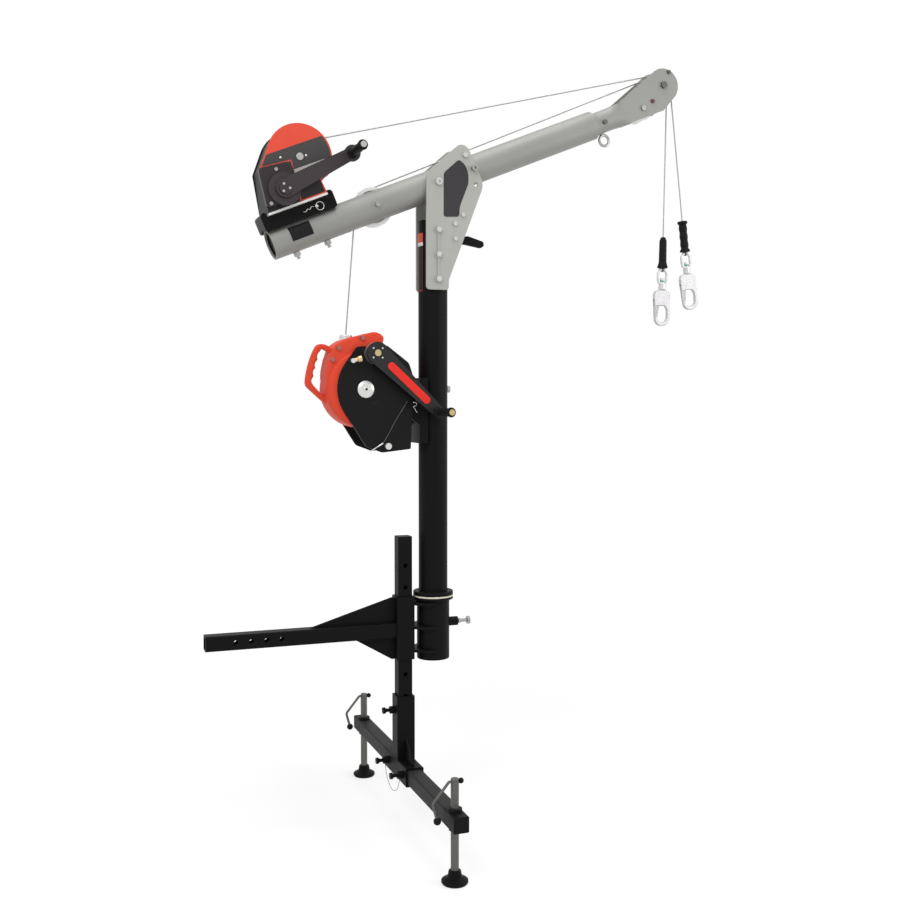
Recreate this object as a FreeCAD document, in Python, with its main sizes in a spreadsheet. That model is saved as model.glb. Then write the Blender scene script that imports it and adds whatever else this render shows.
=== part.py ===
import FreeCAD, Part
import math
import os
import re

# A hitch-mounted davit crane for one person: a swivelling mast, a luffing boom
# with a hand winch, a self-retracting lifeline block and two hooks.
# Millimetres. X runs along the hitch bar to the boom head, Y away from the
# viewer, Z up. The origin is the middle of the outermost hitch-pin hole.

V = FreeCAD.Vector
doc = FreeCAD.newDocument("davit_crane")
sheet = doc.addObject("Spreadsheet::Sheet", "sizes")

SIZES = {
    # mast and its socket
    "mast_x": 695.0, "mast_od": 101.6, "mast_wall": 6.0, "mast_bottom": -95.0, "mast_top": 1418.0,
    "socket_wall": 6.0, "socket_gap": 0.35, "socket_bottom": -109.0, "socket_top": 101.0,
    "flange_od": 141.0, "flange_thick": 9.0, "bearing_thick": 6.0, "swivel_gap": 0.3,
    "mast_flange_thick": 14.0, "groove_depth": 4.0,
    # hitch bar, square-tube family
    "bar_side": 50.8, "bar_wall": 6.35, "bar_tail": 100.0, "pin_hole_dia": 16.3, "pin_pitch": 50.8,
    "sleeve_wall": 6.35, "slide_gap": 0.5, "post_offset": 110.0, "box_bottom": -103.0, "box_top": 117.0,
    "gusset_thick": 8.0, "upper_gusset": 301.75, "lower_gusset": 144.75, "gusset_drop": 4.0,
    "tab_thick": 10.0, "tab_top": 90.0, "tab_middle": 6.6, "tab_low": -75.0, "tab_lip": 6.0,
    # spring plungers
    "plunger_dia": 12.0, "plunger_boss": 32.0, "plunger_boss_out": 33.0, "knob_out": 46.0,
    "knob_dia": 28.0, "knob_thick": 9.0, "collar_thick": 8.0, "lock_gap": 0.4, "pin_fit": 0.05,
    "mast_plunger_z": 15.0, "mast_plunger_travel": 3.5, "small_travel": 10.0,
    "small_boss": 26.0, "small_boss_out": 18.0, "small_knob_out": 26.0, "small_knob_dia": 22.0,
    "bar_plunger_inset": 40.0, "bar_pitch": 25.4, "leg_plunger_z": -283.0, "leg_pitch": 50.8,
    # post, leg and crossbar
    "post_wall": 5.0, "post_bottom": -400.0, "post_top": 326.0, "post_hole_dia": 16.0,
    "post_hole_pitch": 76.2, "post_hole_z": 225.0, "leg_top": -232.6, "crossbar_z": -487.0,
    "crossbar_wall": 5.0, "crossbar_half": 575.0, "sleeve_half": 125.0, "cap_thick": 3.0, "cap_depth": 18.0,
    "rib_thick": 8.0, "rib_reach": 78.0, "rib_rise": 75.0,
    # jacks
    "jack_inset": 55.0, "jack_dia": 25.4, "jack_top": -360.0, "nut_dia": 38.0, "nut_collar": 46.0,
    "nut_out": 9.0, "floor_z": -689.0, "pad_dia": 84.0, "pad_rim": 12.0, "pad_hub_dia": 42.0,
    "pad_height": 42.0, "pad_floor": 19.0, "pad_gap": 0.3, "handle_dia": 9.0, "handle_drop": 10.0,
    "handle_front": 20.0, "handle_knee": 19.0, "handle_bend": 8.0, "handle_back": 72.0, "handle_fall": 64.0,
    "handle_tip": 57.0, "handle_reach": 118.0, "handle_ball": 24.0, "handle_stop": 18.0,
    # hinge
    "plate_thick": 8.0, "plate_gap": 0.5, "pivot_z": 1545.0, "pivot_dia": 16.0, "luff_angle": 22.5,
    "plate_back": 43.0, "plate_low": 1178.0, "plate_shoulder": 1572.0, "crown_x": 95.4, "crown_z": 1695.0,
    "plate_nose_x": 167.7, "plate_nose_z": 1547.0, "plate_front": 38.0, "plate_waist": 1212.0,
    "lock_radius": 137.0, "lock_dia": 15.0, "mast_bolt_dia": 12.0, "mast_bolt_top": 1382.0,
    "mast_bolt_pitch": 84.0, "boss_dia": 28.0, "ridge_wide": 8.0, "strip_thick": 3.0,
    "spacer_bolt_dia": 10.0, "spacer_dia": 18.0, "spacer_high_x": 89.3, "spacer_high_z": 1437.3,
    "spacer_mid_x": 60.2, "spacer_mid_z": 1405.3, "lever_x": 61.5, "lever_z": 1354.2,
    "lever_thick": 12.0, "lever_gap": 0.4, "lever_reach": 127.5,
    # boom and nose
    "boom_tail": 615.0, "boom_front": 663.0, "boom_wall": 6.0, "nose_od": 80.0, "nose_wall": 6.0,
    "nose_start": 520.0, "nose_end": 815.0, "nose_collar": 45.0, "plug_recess": 6.0, "plug_thick": 14.0,
    "nose_screw_s": 697.0, "nose_screw_n": -6.6, "nose_screw_dia": 10.0, "nose_screw_head": 17.0,
    "eye_s": 692.0, "eye_ring_r": 19.0, "eye_wire": 10.0, "eye_shank_dia": 12.0,
    # head
    "axle_s": 979.5, "axle_n": 44.1, "axle_dia": 16.0, "head_r": 61.0, "head_thick": 6.0, "head_half": 35.0,
    "head_tail_s": 781.0, "head_tail_n": 42.0, "head_foot_s": 946.0, "head_foot_n": 41.0,
    "head_heel_s": 798.0,
    "top_bolt_s": 1017.7, "top_bolt_n": 81.9, "low_bolt_s": 913.0, "low_bolt_n": 3.7, "axle_sleeve": 28.0,
    "sheave_pitch_r": 45.0, "sheave_flange": 4.0, "sheave_width": 18.0, "line_dia": 4.8, "line_y": 12.0,
    "line_gap": 0.4, "roller_s": 866.0, "roller_n": -8.0, "roller_dia": 84.0, "roller_axle": 12.0,
    "side_gap": 1.0, "head_bolt_dia": 8.0,
    # rear sheave
    "rear_s": -232.0, "rear_pitch_r": 60.0, "rear_flange": 7.0, "rear_width": 28.0, "rear_axle": 12.0,
    "rear_slot_gap": 3.0, "rear_slot_back": 38.0,
    # winch
    "drum_s": -429.0, "drum_n": 227.0, "disc_r": 108.0, "winch_half": 70.0, "winch_plate": 4.0,
    "drum_wrap_r": 54.4, "drum_flange_r": 92.0, "drum_shaft": 24.0, "guard_r": 103.0, "guard_thick": 3.0,
    "bracket_top": 85.0, "bracket_half": 52.0, "bracket_wall": 6.0, "winch_base_thick": 7.0,
    "saddle_rear": 622.0, "saddle_front": 363.0, "saddle_low": 41.0, "saddle_end": 16.0, "lip_wide": 20.0,
    "lip_rise": 15.0, "base_gap": 4.0, "saddle_bolt_rear": 541.0, "saddle_bolt_front": 428.0,
    "brow_s": 566.0, "brow_n": 236.0, "chin_angle": -53.0, "neck_n": 135.0, "cover_bolt_dia": 12.0,
    "cover_thick": 21.0, "crank_s": -523.5, "crank_n": 145.4, "crank_hub_r": 53.0, "crank_shaft": 20.0,
    "crank_arm_thick": 10.0, "crank_root": 60.0, "crank_tip": 40.0, "crank_end_dia": 54.0,
    "crank_boss_dia": 40.0, "crank_end_s": -268.6, "crank_end_n": 178.2, "crank_hub_thick": 8.0,
    "grip_pin": 12.0, "winch_grip_length": 130.0, "winch_grip_dia": 30.0, "bracket_bolt_dia": 12.0,
    # lifeline block, measured from the mast axis
    "block_x": -263.0, "block_z": 835.0, "block_r": 131.0, "block_half": 62.0, "block_plate": 8.0,
    "handle_half": 17.0, "life_crank_x": -231.0, "life_crank_z": 956.0, "life_hub_r": 37.0,
    "life_tip": 40.0, "life_strip": 26.0, "hub_cap_r": 29.0,
    "detent_x": -188.0, "detent_z": 643.0, "detent_dia": 14.0,
    "life_hub_thick": 26.0, "life_end_x": -15.0, "life_end_z": 758.0, "life_arm_thick": 12.0,
    "life_grip_length": 124.0, "life_grip_dia": 30.0, "outlet_x": -310.5, "outlet_z": 1020.0,
    "outlet_r": 22.0,
    "outlet_sink": 26.0, "bracket_low": 650.0, "bracket_high": 875.0, "bracket_out": 66.0, "lug_half": 52.0,
    "lug_thick": 8.0, "lug_pin_x": -110.0, "lug_pin_z": 785.0, "lug_pin_dia": 14.0, "through_z": 837.0,
    "through_dia": 14.0,
    # hooks
    "winch_lean": 6.7, "winch_drop": 497.0, "life_lean": -1.0, "life_drop": 548.0,
    "grip_length": 116.0, "hook_grip_dia": 29.0, "ring_width": 46.0, "ring_height": 65.0, "ring_wire": 10.0,
    "swivel_dia": 26.0, "swivel_height": 16.0, "swivel_pin": 11.0, "snap_width": 72.0, "snap_height": 136.0,
    "snap_thick": 14.0, "snap_limb": 15.0, "gate_thick": 8.0, "gate_length": 58.0, "gate_pin": 5.0,
    "gate_gap": 0.4, "stud_dia": 16.0, "stud_rise": 17.0, "snap_ease": 3.0,
}

for row, (alias, number) in enumerate(SIZES.items(), 1):
    sheet.set("A" + str(row), alias)
    sheet.set("B" + str(row), str(number))
    sheet.setAlias("B" + str(row), alias)
doc.recompute()


class Values:
    """The sheet's numbers, by name, for sketches and paths."""

    def __getattr__(self, alias):
        return float(sheet.get(alias))


v = Values()


def bind(thing, prop, text):
    """Ties one property to the sheet; plain words in the text are cell names."""
    thing.setExpression(prop, re.sub(r"([a-z][a-z_]*)", r"sizes.\1", str(text)))


def move(thing, x=0, y=0, z=0):
    for axis, text in zip("xyz", (x, y, z)):
        if text != 0:
            bind(thing, "Placement.Base." + axis, text)
    return thing


AXES = {"x": V(1, 0, 0), "y": V(0, 1, 0), "z": V(0, 0, 1),
        "-x": V(-1, 0, 0), "-y": V(0, -1, 0), "-z": V(0, 0, -1)}
PLANES = {"x": "YZ_Plane", "y": "XZ_Plane", "z": "XY_Plane"}


def aim(thing, axis):
    thing.Placement = FreeCAD.Placement(V(0, 0, 0), FreeCAD.Rotation(V(0, 0, 1), AXES[axis]))
    return thing


def rod(name, axis, dia, low, high, x=0, y=0, z=0):
    """Round bar along an axis, from low to high on it."""
    made = aim(doc.addObject("Part::Cylinder", name), axis)
    bind(made, "Radius", f"({dia}) / 2")
    bind(made, "Height", f"({high}) - ({low})")
    spot = {"x": x, "y": y, "z": z}
    spot[axis] = low
    return move(made, **spot)


def hexagon(name, axis, across, low, high, x=0, y=0, z=0):
    """Hexagon bar along an axis, for heads and nuts; across is its corner diameter."""
    made = aim(doc.addObject("Part::Prism", name), axis)
    made.Polygon = 6
    bind(made, "Circumradius", f"({across}) / 2")
    bind(made, "Height", f"({high}) - ({low})")
    spot = {"x": x, "y": y, "z": z}
    spot[axis] = low
    return move(made, **spot)


def block(name, x0, x1, y0, y1, z0, z1):
    made = doc.addObject("Part::Box", name)
    bind(made, "Length", f"({x1}) - ({x0})")
    bind(made, "Width", f"({y1}) - ({y0})")
    bind(made, "Height", f"({z1}) - ({z0})")
    return move(made, x0, y0, z0)


def ball(name, dia, x=0, y=0, z=0):
    made = doc.addObject("Part::Sphere", name)
    bind(made, "Radius", f"({dia}) / 2")
    return move(made, x, y, z)


def join(name, things):
    if len(things) == 1:
        return things[0]
    made = doc.addObject("Part::MultiFuse", name)
    made.Shapes = things
    made.Refine = True
    return made


def cut(name, base, tools):
    made = doc.addObject("Part::Cut", name)
    made.Base = base
    made.Tool = join(name + "_tools", tools)
    made.Refine = True
    return made


def rounded(corners):
    """Edges of a closed outline through (x, y) or (x, y, corner radius) points."""
    firsts, lasts, arcs = [], [], []
    for i, corner in enumerate(corners):
        before, after = corners[i - 1], corners[(i + 1) % len(corners)]
        here = V(corner[0], corner[1])
        if len(corner) < 3:
            firsts.append(here)
            lasts.append(here)
            arcs.append(None)
            continue
        back = (V(before[0], before[1]) - here).normalize()
        on = (V(after[0], after[1]) - here).normalize()
        half = back.getAngle(on) / 2
        reach = corner[2] / math.tan(half)
        firsts.append(here + back * reach)
        lasts.append(here + on * reach)
        middle = here + (back + on).normalize() * (corner[2] / math.sin(half) - corner[2])
        arcs.append(middle)
    edges = []
    for i in range(len(corners)):
        if arcs[i] is not None:
            edges.append(Part.Arc(firsts[i], arcs[i], lasts[i]))
        onward = firsts[(i + 1) % len(corners)]
        if (onward - lasts[i]).Length > 1e-6:
            edges.append(Part.LineSegment(lasts[i], onward))
    return edges


def circle(x, y, dia):
    return [Part.Circle(V(x, y, 0), V(0, 0, 1), dia / 2)]


def square(side, corner):
    half = side / 2
    return rounded([(-half, -half, corner), (half, -half, corner), (half, half, corner),
                    (-half, half, corner)])


def sketch_on(body, axis, outlines):
    plane = [f for f in body.Origin.OriginFeatures if f.Role == PLANES[axis]][0]
    sketch = body.newObject("Sketcher::SketchObject", body.Name + "_sketch")
    sketch.AttachmentSupport = (plane, [""])
    sketch.MapMode = "FlatFace"
    for outline in outlines:
        for edge in outline:
            sketch.addGeometry(edge, False)
    return sketch


def padded(name, axis, outlines, low, high, x=0, y=0, z=0):
    """Outline, with its holes, drawn square to an axis and padded from low to high."""
    body = doc.addObject("PartDesign::Body", name)
    pad = body.newObject("PartDesign::Pad", name + "_pad")
    pad.Profile = sketch_on(body, axis, outlines)
    bind(pad, "Length", f"({high}) - ({low})")
    spot = {"x": x, "y": y, "z": z}
    spot[axis] = high if axis == "y" else low
    return move(body, **spot)


def turned(name, profile, axis="z", x=0, y=0, z=0):
    """Profile of (radius, height) corners turned about an axis."""
    body = aim(doc.addObject("PartDesign::Body", name), axis)
    turn = body.newObject("PartDesign::Revolution", name + "_turn")
    sketch = sketch_on(body, "y", [rounded(profile)])
    turn.Profile = sketch
    turn.ReferenceAxis = (sketch, ["V_Axis"])
    turn.Angle = 360
    return move(body, x, y, z)


def piped(name, edges, dia):
    """Round wire or line along straight runs and tangent arcs."""
    path = Part.Wire([edge.toShape() for edge in edges])
    first = edges[0]
    start = first.value(first.FirstParameter)
    along = first.tangent(first.FirstParameter)[0]
    ring = Part.Wire([Part.Circle(start, along, dia / 2).toShape()])
    made = doc.addObject("Part::Feature", name)
    made.Shape = path.makePipeShell([ring], True, False)
    wanted = path.Length * math.pi * dia * dia / 4
    if abs(made.Shape.Volume - wanted) > 0.02 * wanted:
        raise ValueError(name + " is not its section times its length")
    return made


def bent(points):
    """Runs and bends of an open path of (x, y, z) or (x, y, z, bend radius) points."""
    here = V(*points[0][:3])
    edges = []
    for before, corner, after in zip(points, points[1:], points[2:]):
        middle = V(*corner[:3])
        back = (V(*before[:3]) - middle).normalize()
        on = (V(*after[:3]) - middle).normalize()
        half = back.getAngle(on) / 2
        reach = corner[3] / math.tan(half)
        bend = middle + (back + on).normalize() * (corner[3] / math.sin(half) - corner[3])
        edges.append(Part.LineSegment(here, middle + back * reach))
        edges.append(Part.Arc(middle + back * reach, bend, middle + on * reach))
        here = middle + on * reach
    edges.append(Part.LineSegment(here, V(*points[-1][:3])))
    return edges


def through_bolt(name, dia, head, low, high, x, z, head_thick=8, socket=False):
    """Bolt along Y: shank from low to high, a head on the near side, a nut on the far side."""
    shank = rod(name + "_shank", "y", dia, f"{low} - 1", f"{high} + 1", x=x, z=z)
    make = rod if socket else hexagon
    near = make(name + "_head", "y", head, f"{low} - {head_thick}", low, x=x, z=z)
    far = hexagon(name + "_nut", "y", head, high, f"{high} + {head_thick}", x=x, z=z)
    made = join(name, [shank, near, far])
    if socket:
        made = cut(name + "_drive", made, [hexagon(name + "_key", "y", f"{head} * 0.5",
                                                   f"{low} - {head_thick} - 1", f"{low} - 2", x=x, z=z)])
    return made


NODES = []
LEANS = {"winch": "winch_lean", "life": "life_lean"}


def node(label, things, frame="world"):
    """One piece, or one set of like pieces, in the frame it was drawn in."""
    made = doc.addObject("Part::Compound", label)
    made.Links = things
    made.Label = label
    if frame == "mast":
        move(made, "mast_x")
    if frame == "boom":
        made.Placement.Rotation = FreeCAD.Rotation(V(0, 1, 0), -v.luff_angle)
        move(made, "mast_x", 0, "pivot_z")
    if frame in LEANS:
        made.Placement = hook_frame(frame)
    NODES.append(made)
    return made


# Shared places

PLATE_IN = "mast_od / 2 + plate_gap"
PLATE_OUT = "mast_od / 2 + plate_gap + plate_thick"
BOX_SIDE = "bar_side + 2 * slide_gap + 2 * sleeve_wall"
POST_X = "mast_x - post_offset"
BOX_OUT = "bar_side / 2 + slide_gap + sleeve_wall"
FLANGE_TOP = "socket_top + flange_thick"
BAR_LOCK_Y = "(sleeve_half - bar_plunger_inset)"
JACK_Y = "crossbar_half - jack_inset"
FOOT_REAR = "saddle_rear - lip_wide - base_gap"
FOOT_FRONT = "saddle_front + lip_wide + base_gap"
SADDLE_BOLTS = ("saddle_bolt_rear", "saddle_bolt_front")

# Screws of the gear cover: across and up from the crank's shaft, and how far they stand out
COVER_BOLTS = ((-1, 66.4, 3), (-58.5, -29.4, 3), (31.5, -32.4, 0))


def box_side():
    return v.bar_side + 2 * v.slide_gap + 2 * v.sleeve_wall


def to_mast(s, n):
    """A point of the boom's own frame, in the mast's frame."""
    angle = math.radians(v.luff_angle)
    x = s * math.cos(angle) - n * math.sin(angle)
    z = v.pivot_z + s * math.sin(angle) + n * math.cos(angle)
    return x, z


def over(start, start_r, end, end_r):
    """Angle of the side on which a taut line passes over two round things."""
    across, up = end[0] - start[0], end[1] - start[1]
    return math.atan2(up, across) + math.acos((start_r - end_r) / math.hypot(across, up))


def on_rim(middle, radius, angle):
    return middle[0] + radius * math.cos(angle), middle[1] + radius * math.sin(angle)


def head_axle():
    return v.axle_s, v.axle_n


def hook_frame(which):
    """Frame of a hook at the top of its grip: Z back up the line, origin on the line."""
    lean = math.radians(getattr(v, LEANS[which]))
    drop = v.winch_drop if which == "winch" else v.life_drop
    x, z = on_rim(to_mast(*head_axle()), v.sheave_pitch_r, lean)
    x += drop * math.sin(lean)
    z -= drop * math.cos(lean)
    y = -v.line_y if which == "winch" else v.line_y
    turn = FreeCAD.Rotation(V(0, 1, 0), -math.degrees(lean))
    return FreeCAD.Placement(V(v.mast_x + x, y, z), turn)


# Hitch frame

def square_tube(name, axis, side, inside, low, high, **spot):
    return padded(name, axis, [square(side, 4.5), square(inside, 2.0)], low, high, **spot)


def hitch_bar():
    """Square bar that slides into a vehicle's receiver, with a row of pin holes."""
    inside = v.bar_side - 2 * v.bar_wall
    shell = square_tube("bar_shell", "x", v.bar_side, inside, "-bar_tail", f"{POST_X} - ({BOX_OUT})")
    holes = []
    for k in range(4):
        holes.append(rod(f"bar_hole_{k}", "y", "pin_hole_dia", "-bar_side", "bar_side", x=f"{k} * pin_pitch"))
    node("hitch_bar", [cut("bar_cut", shell, holes)])


def frame_plates():
    """Gussets over and under the bar, and the tabs that carry the mast socket."""
    face = v.mast_x - v.post_offset - box_side() / 2
    half = v.bar_side / 2
    top, low = v.box_top - v.gusset_drop, v.box_bottom
    upper = rounded([(face - v.upper_gusset, half), (face, half), (face, top), (face - 12, top)])
    lower = rounded([(face - v.lower_gusset, -half), (face - 12, low), (face, low), (face, -half)])
    made = [padded("gusset_upper", "y", [upper], "-gusset_thick / 2", "gusset_thick / 2")]
    made.append(padded("gusset_lower", "y", [lower], "-gusset_thick / 2", "gusset_thick / 2"))
    back = box_side() / 2 - v.post_offset
    socket_r = v.mast_od / 2 + v.socket_gap + v.socket_wall
    lip = socket_r + v.tab_lip
    width = box_side() / 2
    shape = rounded([(back, -width), (-socket_r * 0.7, -lip, 12), (-8, -socket_r - 2), (-8, socket_r + 2),
                     (-socket_r * 0.7, lip, 12), (back, width)])
    for level in ("tab_top", "tab_middle", "tab_low"):
        ends = (f"{level} - tab_thick / 2", f"{level} + tab_thick / 2")
        flat = padded("plate_" + level, "z", [shape], *ends, x="mast_x")
        seat = rod("seat_" + level, "z", "mast_od + 2 * socket_gap + 2 * socket_wall", *ends, x="mast_x")
        made.append(cut("cut_" + level, flat, [seat]))
    node("frame_plates", made)


def post_box():
    """Sleeve in which the post is set up or down, with a plunger boss on the far side."""
    inside = v.bar_side + 2 * v.slide_gap
    shell = square_tube("box_shell", "z", box_side(), inside, "box_bottom", "box_top", x=POST_X)
    spot = {"x": POST_X, "z": "post_hole_z - 4 * post_hole_pitch"}
    end = f"{BOX_OUT} + small_boss_out"
    boss = rod("box_boss", "y", "small_boss", f"{BOX_OUT} - 1", end, **spot)
    bore = rod("box_bore", "y", "plunger_dia + 2 * pin_fit", 0, f"{end} + 1", **spot)
    node("post_box", [cut("box_cut", join("box_body", [shell, boss]), [bore])])


def mast_socket():
    """Round socket for the mast, with a flange on top and a plunger boss at the front."""
    inner = v.mast_od / 2 + v.socket_gap
    outer = inner + v.socket_wall
    rim = v.flange_od / 2
    top = v.socket_top + v.flange_thick
    profile = [(inner, v.socket_bottom), (outer, v.socket_bottom, 2), (outer, v.socket_top),
               (rim, v.socket_top, 2), (rim, top, 2), (inner, top)]
    shell = turned("socket_shell", profile, x="mast_x")
    face = "mast_x + mast_od / 2 + socket_gap + socket_wall"
    end = f"{face} + plunger_boss_out"
    boss = rod("socket_boss", "x", "plunger_boss", f"{face} - 3", end, z="mast_plunger_z")
    bore = rod("socket_bore", "x", "plunger_dia + 2 * pin_fit", "mast_x", f"{end} + 1", z="mast_plunger_z")
    clear = rod("socket_clear", "z", "mast_od + 2 * socket_gap", "socket_bottom - 1", f"{FLANGE_TOP} + 1",
                x="mast_x")
    node("mast_socket", [cut("socket_cut", join("socket_body", [shell, boss]), [bore, clear])])


def bearing_ring():
    """Plastic ring on which the mast's flange turns."""
    inner = v.mast_od / 2 + 2 * v.socket_gap
    rim = v.flange_od / 2
    low = v.socket_top + v.flange_thick
    top = low + v.bearing_thick - v.swivel_gap
    node("bearing_ring", [turned("bearing_body", [(inner, low), (rim, low, 1), (rim, top, 1), (inner, top)],
                                 x="mast_x")])


def plunger(label, axis, base, sizes, clear_in, travel, **spot):
    """Pull-knob plunger, parked clear of what it locks; base is the sleeve's face."""
    boss_out, knob_out, knob_dia = sizes
    way = "-1" if axis.startswith("-") else "1"

    def along(start, text):
        return f"({start}) + ({way}) * ({text})"

    def bar(name, dia, low, high):
        ends = (high, low) if way == "-1" else (low, high)
        return rod(label + name, axis[-1], dia, *ends, **spot)

    face = along(base, boss_out)
    end = along(face, knob_out)
    neck = along(face, f"{travel} + lock_gap")
    pin = bar("_pin", "plunger_dia", along(base, f"-{clear_in}"), end)
    collar = bar("_collar", f"{knob_dia} * 0.62", neck, along(neck, "collar_thick"))
    knob = bar("_knob", knob_dia, along(end, "-knob_thick"), end)
    node(label, [join(label + "_body", [pin, collar, knob])])


def plungers():
    large = ("plunger_boss_out", "knob_out", "knob_dia")
    small = ("small_boss_out", "small_knob_out", "small_knob_dia")
    out = "mast_x + mast_od / 2 + socket_gap + socket_wall"
    plunger("mast_plunger", "x", out, large, "socket_wall", "mast_plunger_travel", z="mast_plunger_z")
    plunger("post_plunger", "y", BOX_OUT, small, "sleeve_wall", "small_travel",
            x=POST_X, z="post_hole_z - 4 * post_hole_pitch")
    face = f"{POST_X} - ({BOX_OUT})"
    plunger("leg_plunger", "-x", face, small, "sleeve_wall", "small_travel", z="leg_plunger_z")
    for side, sign in (("near", "-"), ("far", "")):
        plunger("bar_plunger_" + side, "-x", face, small, "sleeve_wall", "small_travel",
                y=sign + BAR_LOCK_Y, z="crossbar_z")


# Post, leg and crossbar

def post_tube():
    """Square post with a row of setting holes, closed at the top."""
    inside = v.bar_side - 2 * v.post_wall
    shell = square_tube("post_shell", "z", v.bar_side, inside, "post_bottom", "post_top", x=POST_X)
    lid = padded("post_lid", "z", [square(v.bar_side, 4.5)], "post_top - post_wall", "post_top", x=POST_X)
    holes = []
    for k in range(8):
        holes.append(rod(f"post_hole_{k}", "y", "post_hole_dia", "-bar_side", "bar_side", x=POST_X,
                         z=f"post_hole_z - {k} * post_hole_pitch"))
    for k in range(3):
        holes.append(rod(f"post_leg_hole_{k}", "x", "post_hole_dia",
                         f"{POST_X} - bar_side", f"{POST_X} + bar_side",
                         z=f"leg_plunger_z + ({k} - 1) * leg_pitch"))
    node("post_tube", [cut("post_cut", join("post_body", [shell, lid]), holes)])


def leg_frame():
    """Leg sleeve welded with two ribs on the crossbar's sleeve, with plunger bosses."""
    inside = v.bar_side + 2 * v.slide_gap
    half = box_side() / 2
    low = v.crossbar_z + half
    leg = square_tube("leg_shell", "z", box_side(), inside, f"crossbar_z + {BOX_OUT} - 1", "leg_top",
                      x=POST_X)
    sleeve = square_tube("sleeve_shell", "y", box_side(), inside, "-sleeve_half", "sleeve_half",
                         x=POST_X, z="crossbar_z")
    pieces = [leg, sleeve]
    for side, sign in (("near", -1), ("far", 1)):
        reach = half + v.rib_reach
        shape = rounded([(sign * (half - 1), low - 1), (sign * reach, low - 1),
                         (sign * reach, low + v.rib_thick),
                         (sign * half, low + v.rib_rise), (sign * (half - 1), low + v.rib_rise)])
        pieces.append(padded("rib_" + side, "x", [shape],
                             f"{POST_X} - rib_thick / 2", f"{POST_X} + rib_thick / 2"))
    out = f"{POST_X} - ({BOX_OUT})"
    bar = {"z": "crossbar_z"}
    spots = {"leg": {"z": "leg_plunger_z"}, "near": {"y": "-" + BAR_LOCK_Y, **bar},
             "far": {"y": BAR_LOCK_Y, **bar}}
    bores = []
    for name, spot in spots.items():
        end = f"{out} - small_boss_out"
        pieces.append(rod("boss_" + name, "x", "small_boss", end, f"{out} + 1", **spot))
        bores.append(rod("bore_" + name, "x", "plunger_dia + 2 * pin_fit", f"{end} - 1", POST_X, **spot))
    clear = [square(inside, 2.0)]
    bores.append(padded("leg_clear", "z", clear, f"crossbar_z + {BOX_OUT} - 0.5", "leg_top + 1", x=POST_X))
    bores.append(padded("sleeve_clear", "y", clear, "-sleeve_half - 1", "sleeve_half + 1",
                        x=POST_X, z="crossbar_z"))
    node("leg_frame", [cut("leg_cut", join("leg_body", pieces), bores)])


def crossbar():
    """Square crossbar, its end plugs and the nuts of the two jacks."""
    inside = v.bar_side - 2 * v.crossbar_wall
    shell = square_tube("crossbar_shell", "y", v.bar_side, inside, "-crossbar_half", "crossbar_half",
                        x=POST_X, z="crossbar_z")
    bore_r = v.jack_dia / 2 + v.pin_fit
    nut_r, collar_r = v.nut_dia / 2, v.nut_collar / 2
    half = v.bar_side / 2
    low, high = -half - v.nut_out, half + v.nut_out
    profile = [(bore_r, low), (nut_r, low), (nut_r, half), (collar_r, half), (collar_r, high, 2),
               (bore_r, high)]
    holes, caps, nuts = [], [], []
    for side, sign in (("near", "-"), ("far", "")):
        spot = {"x": POST_X, "y": f"{sign}({JACK_Y})"}
        holes.append(rod("jack_hole_" + side, "z", "nut_dia",
                         "crossbar_z - bar_side", "crossbar_z + bar_side", **spot))
        for k in range(3):
            holes.append(rod(f"lock_hole_{side}_{k}", "x", "post_hole_dia", f"{POST_X} - bar_side", POST_X,
                             y=f"{sign}{BAR_LOCK_Y} + ({k} - 1) * bar_pitch", z="crossbar_z"))
        lid = ("crossbar_half", "crossbar_half + cap_thick")
        plug = ("crossbar_half - cap_depth", "crossbar_half + 1")
        if sign:
            lid = ("-crossbar_half - cap_thick", "-crossbar_half")
            plug = ("-crossbar_half - 1", "-crossbar_half + cap_depth")
        outer = padded("cap_lid_" + side, "y", [square(v.bar_side, 4.5)], *lid, x=POST_X, z="crossbar_z")
        inner = padded("cap_plug_" + side, "y", [square(inside, 2.0)], *plug, x=POST_X, z="crossbar_z")
        caps.append(join("cap_" + side, [outer, inner]))
        nuts.append(turned("nut_" + side, profile, z="crossbar_z", **spot))
    node("crossbar_tube", [cut("crossbar_cut", shell, holes)])
    node("crossbar_caps", caps)
    node("jack_nuts", nuts)


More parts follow.
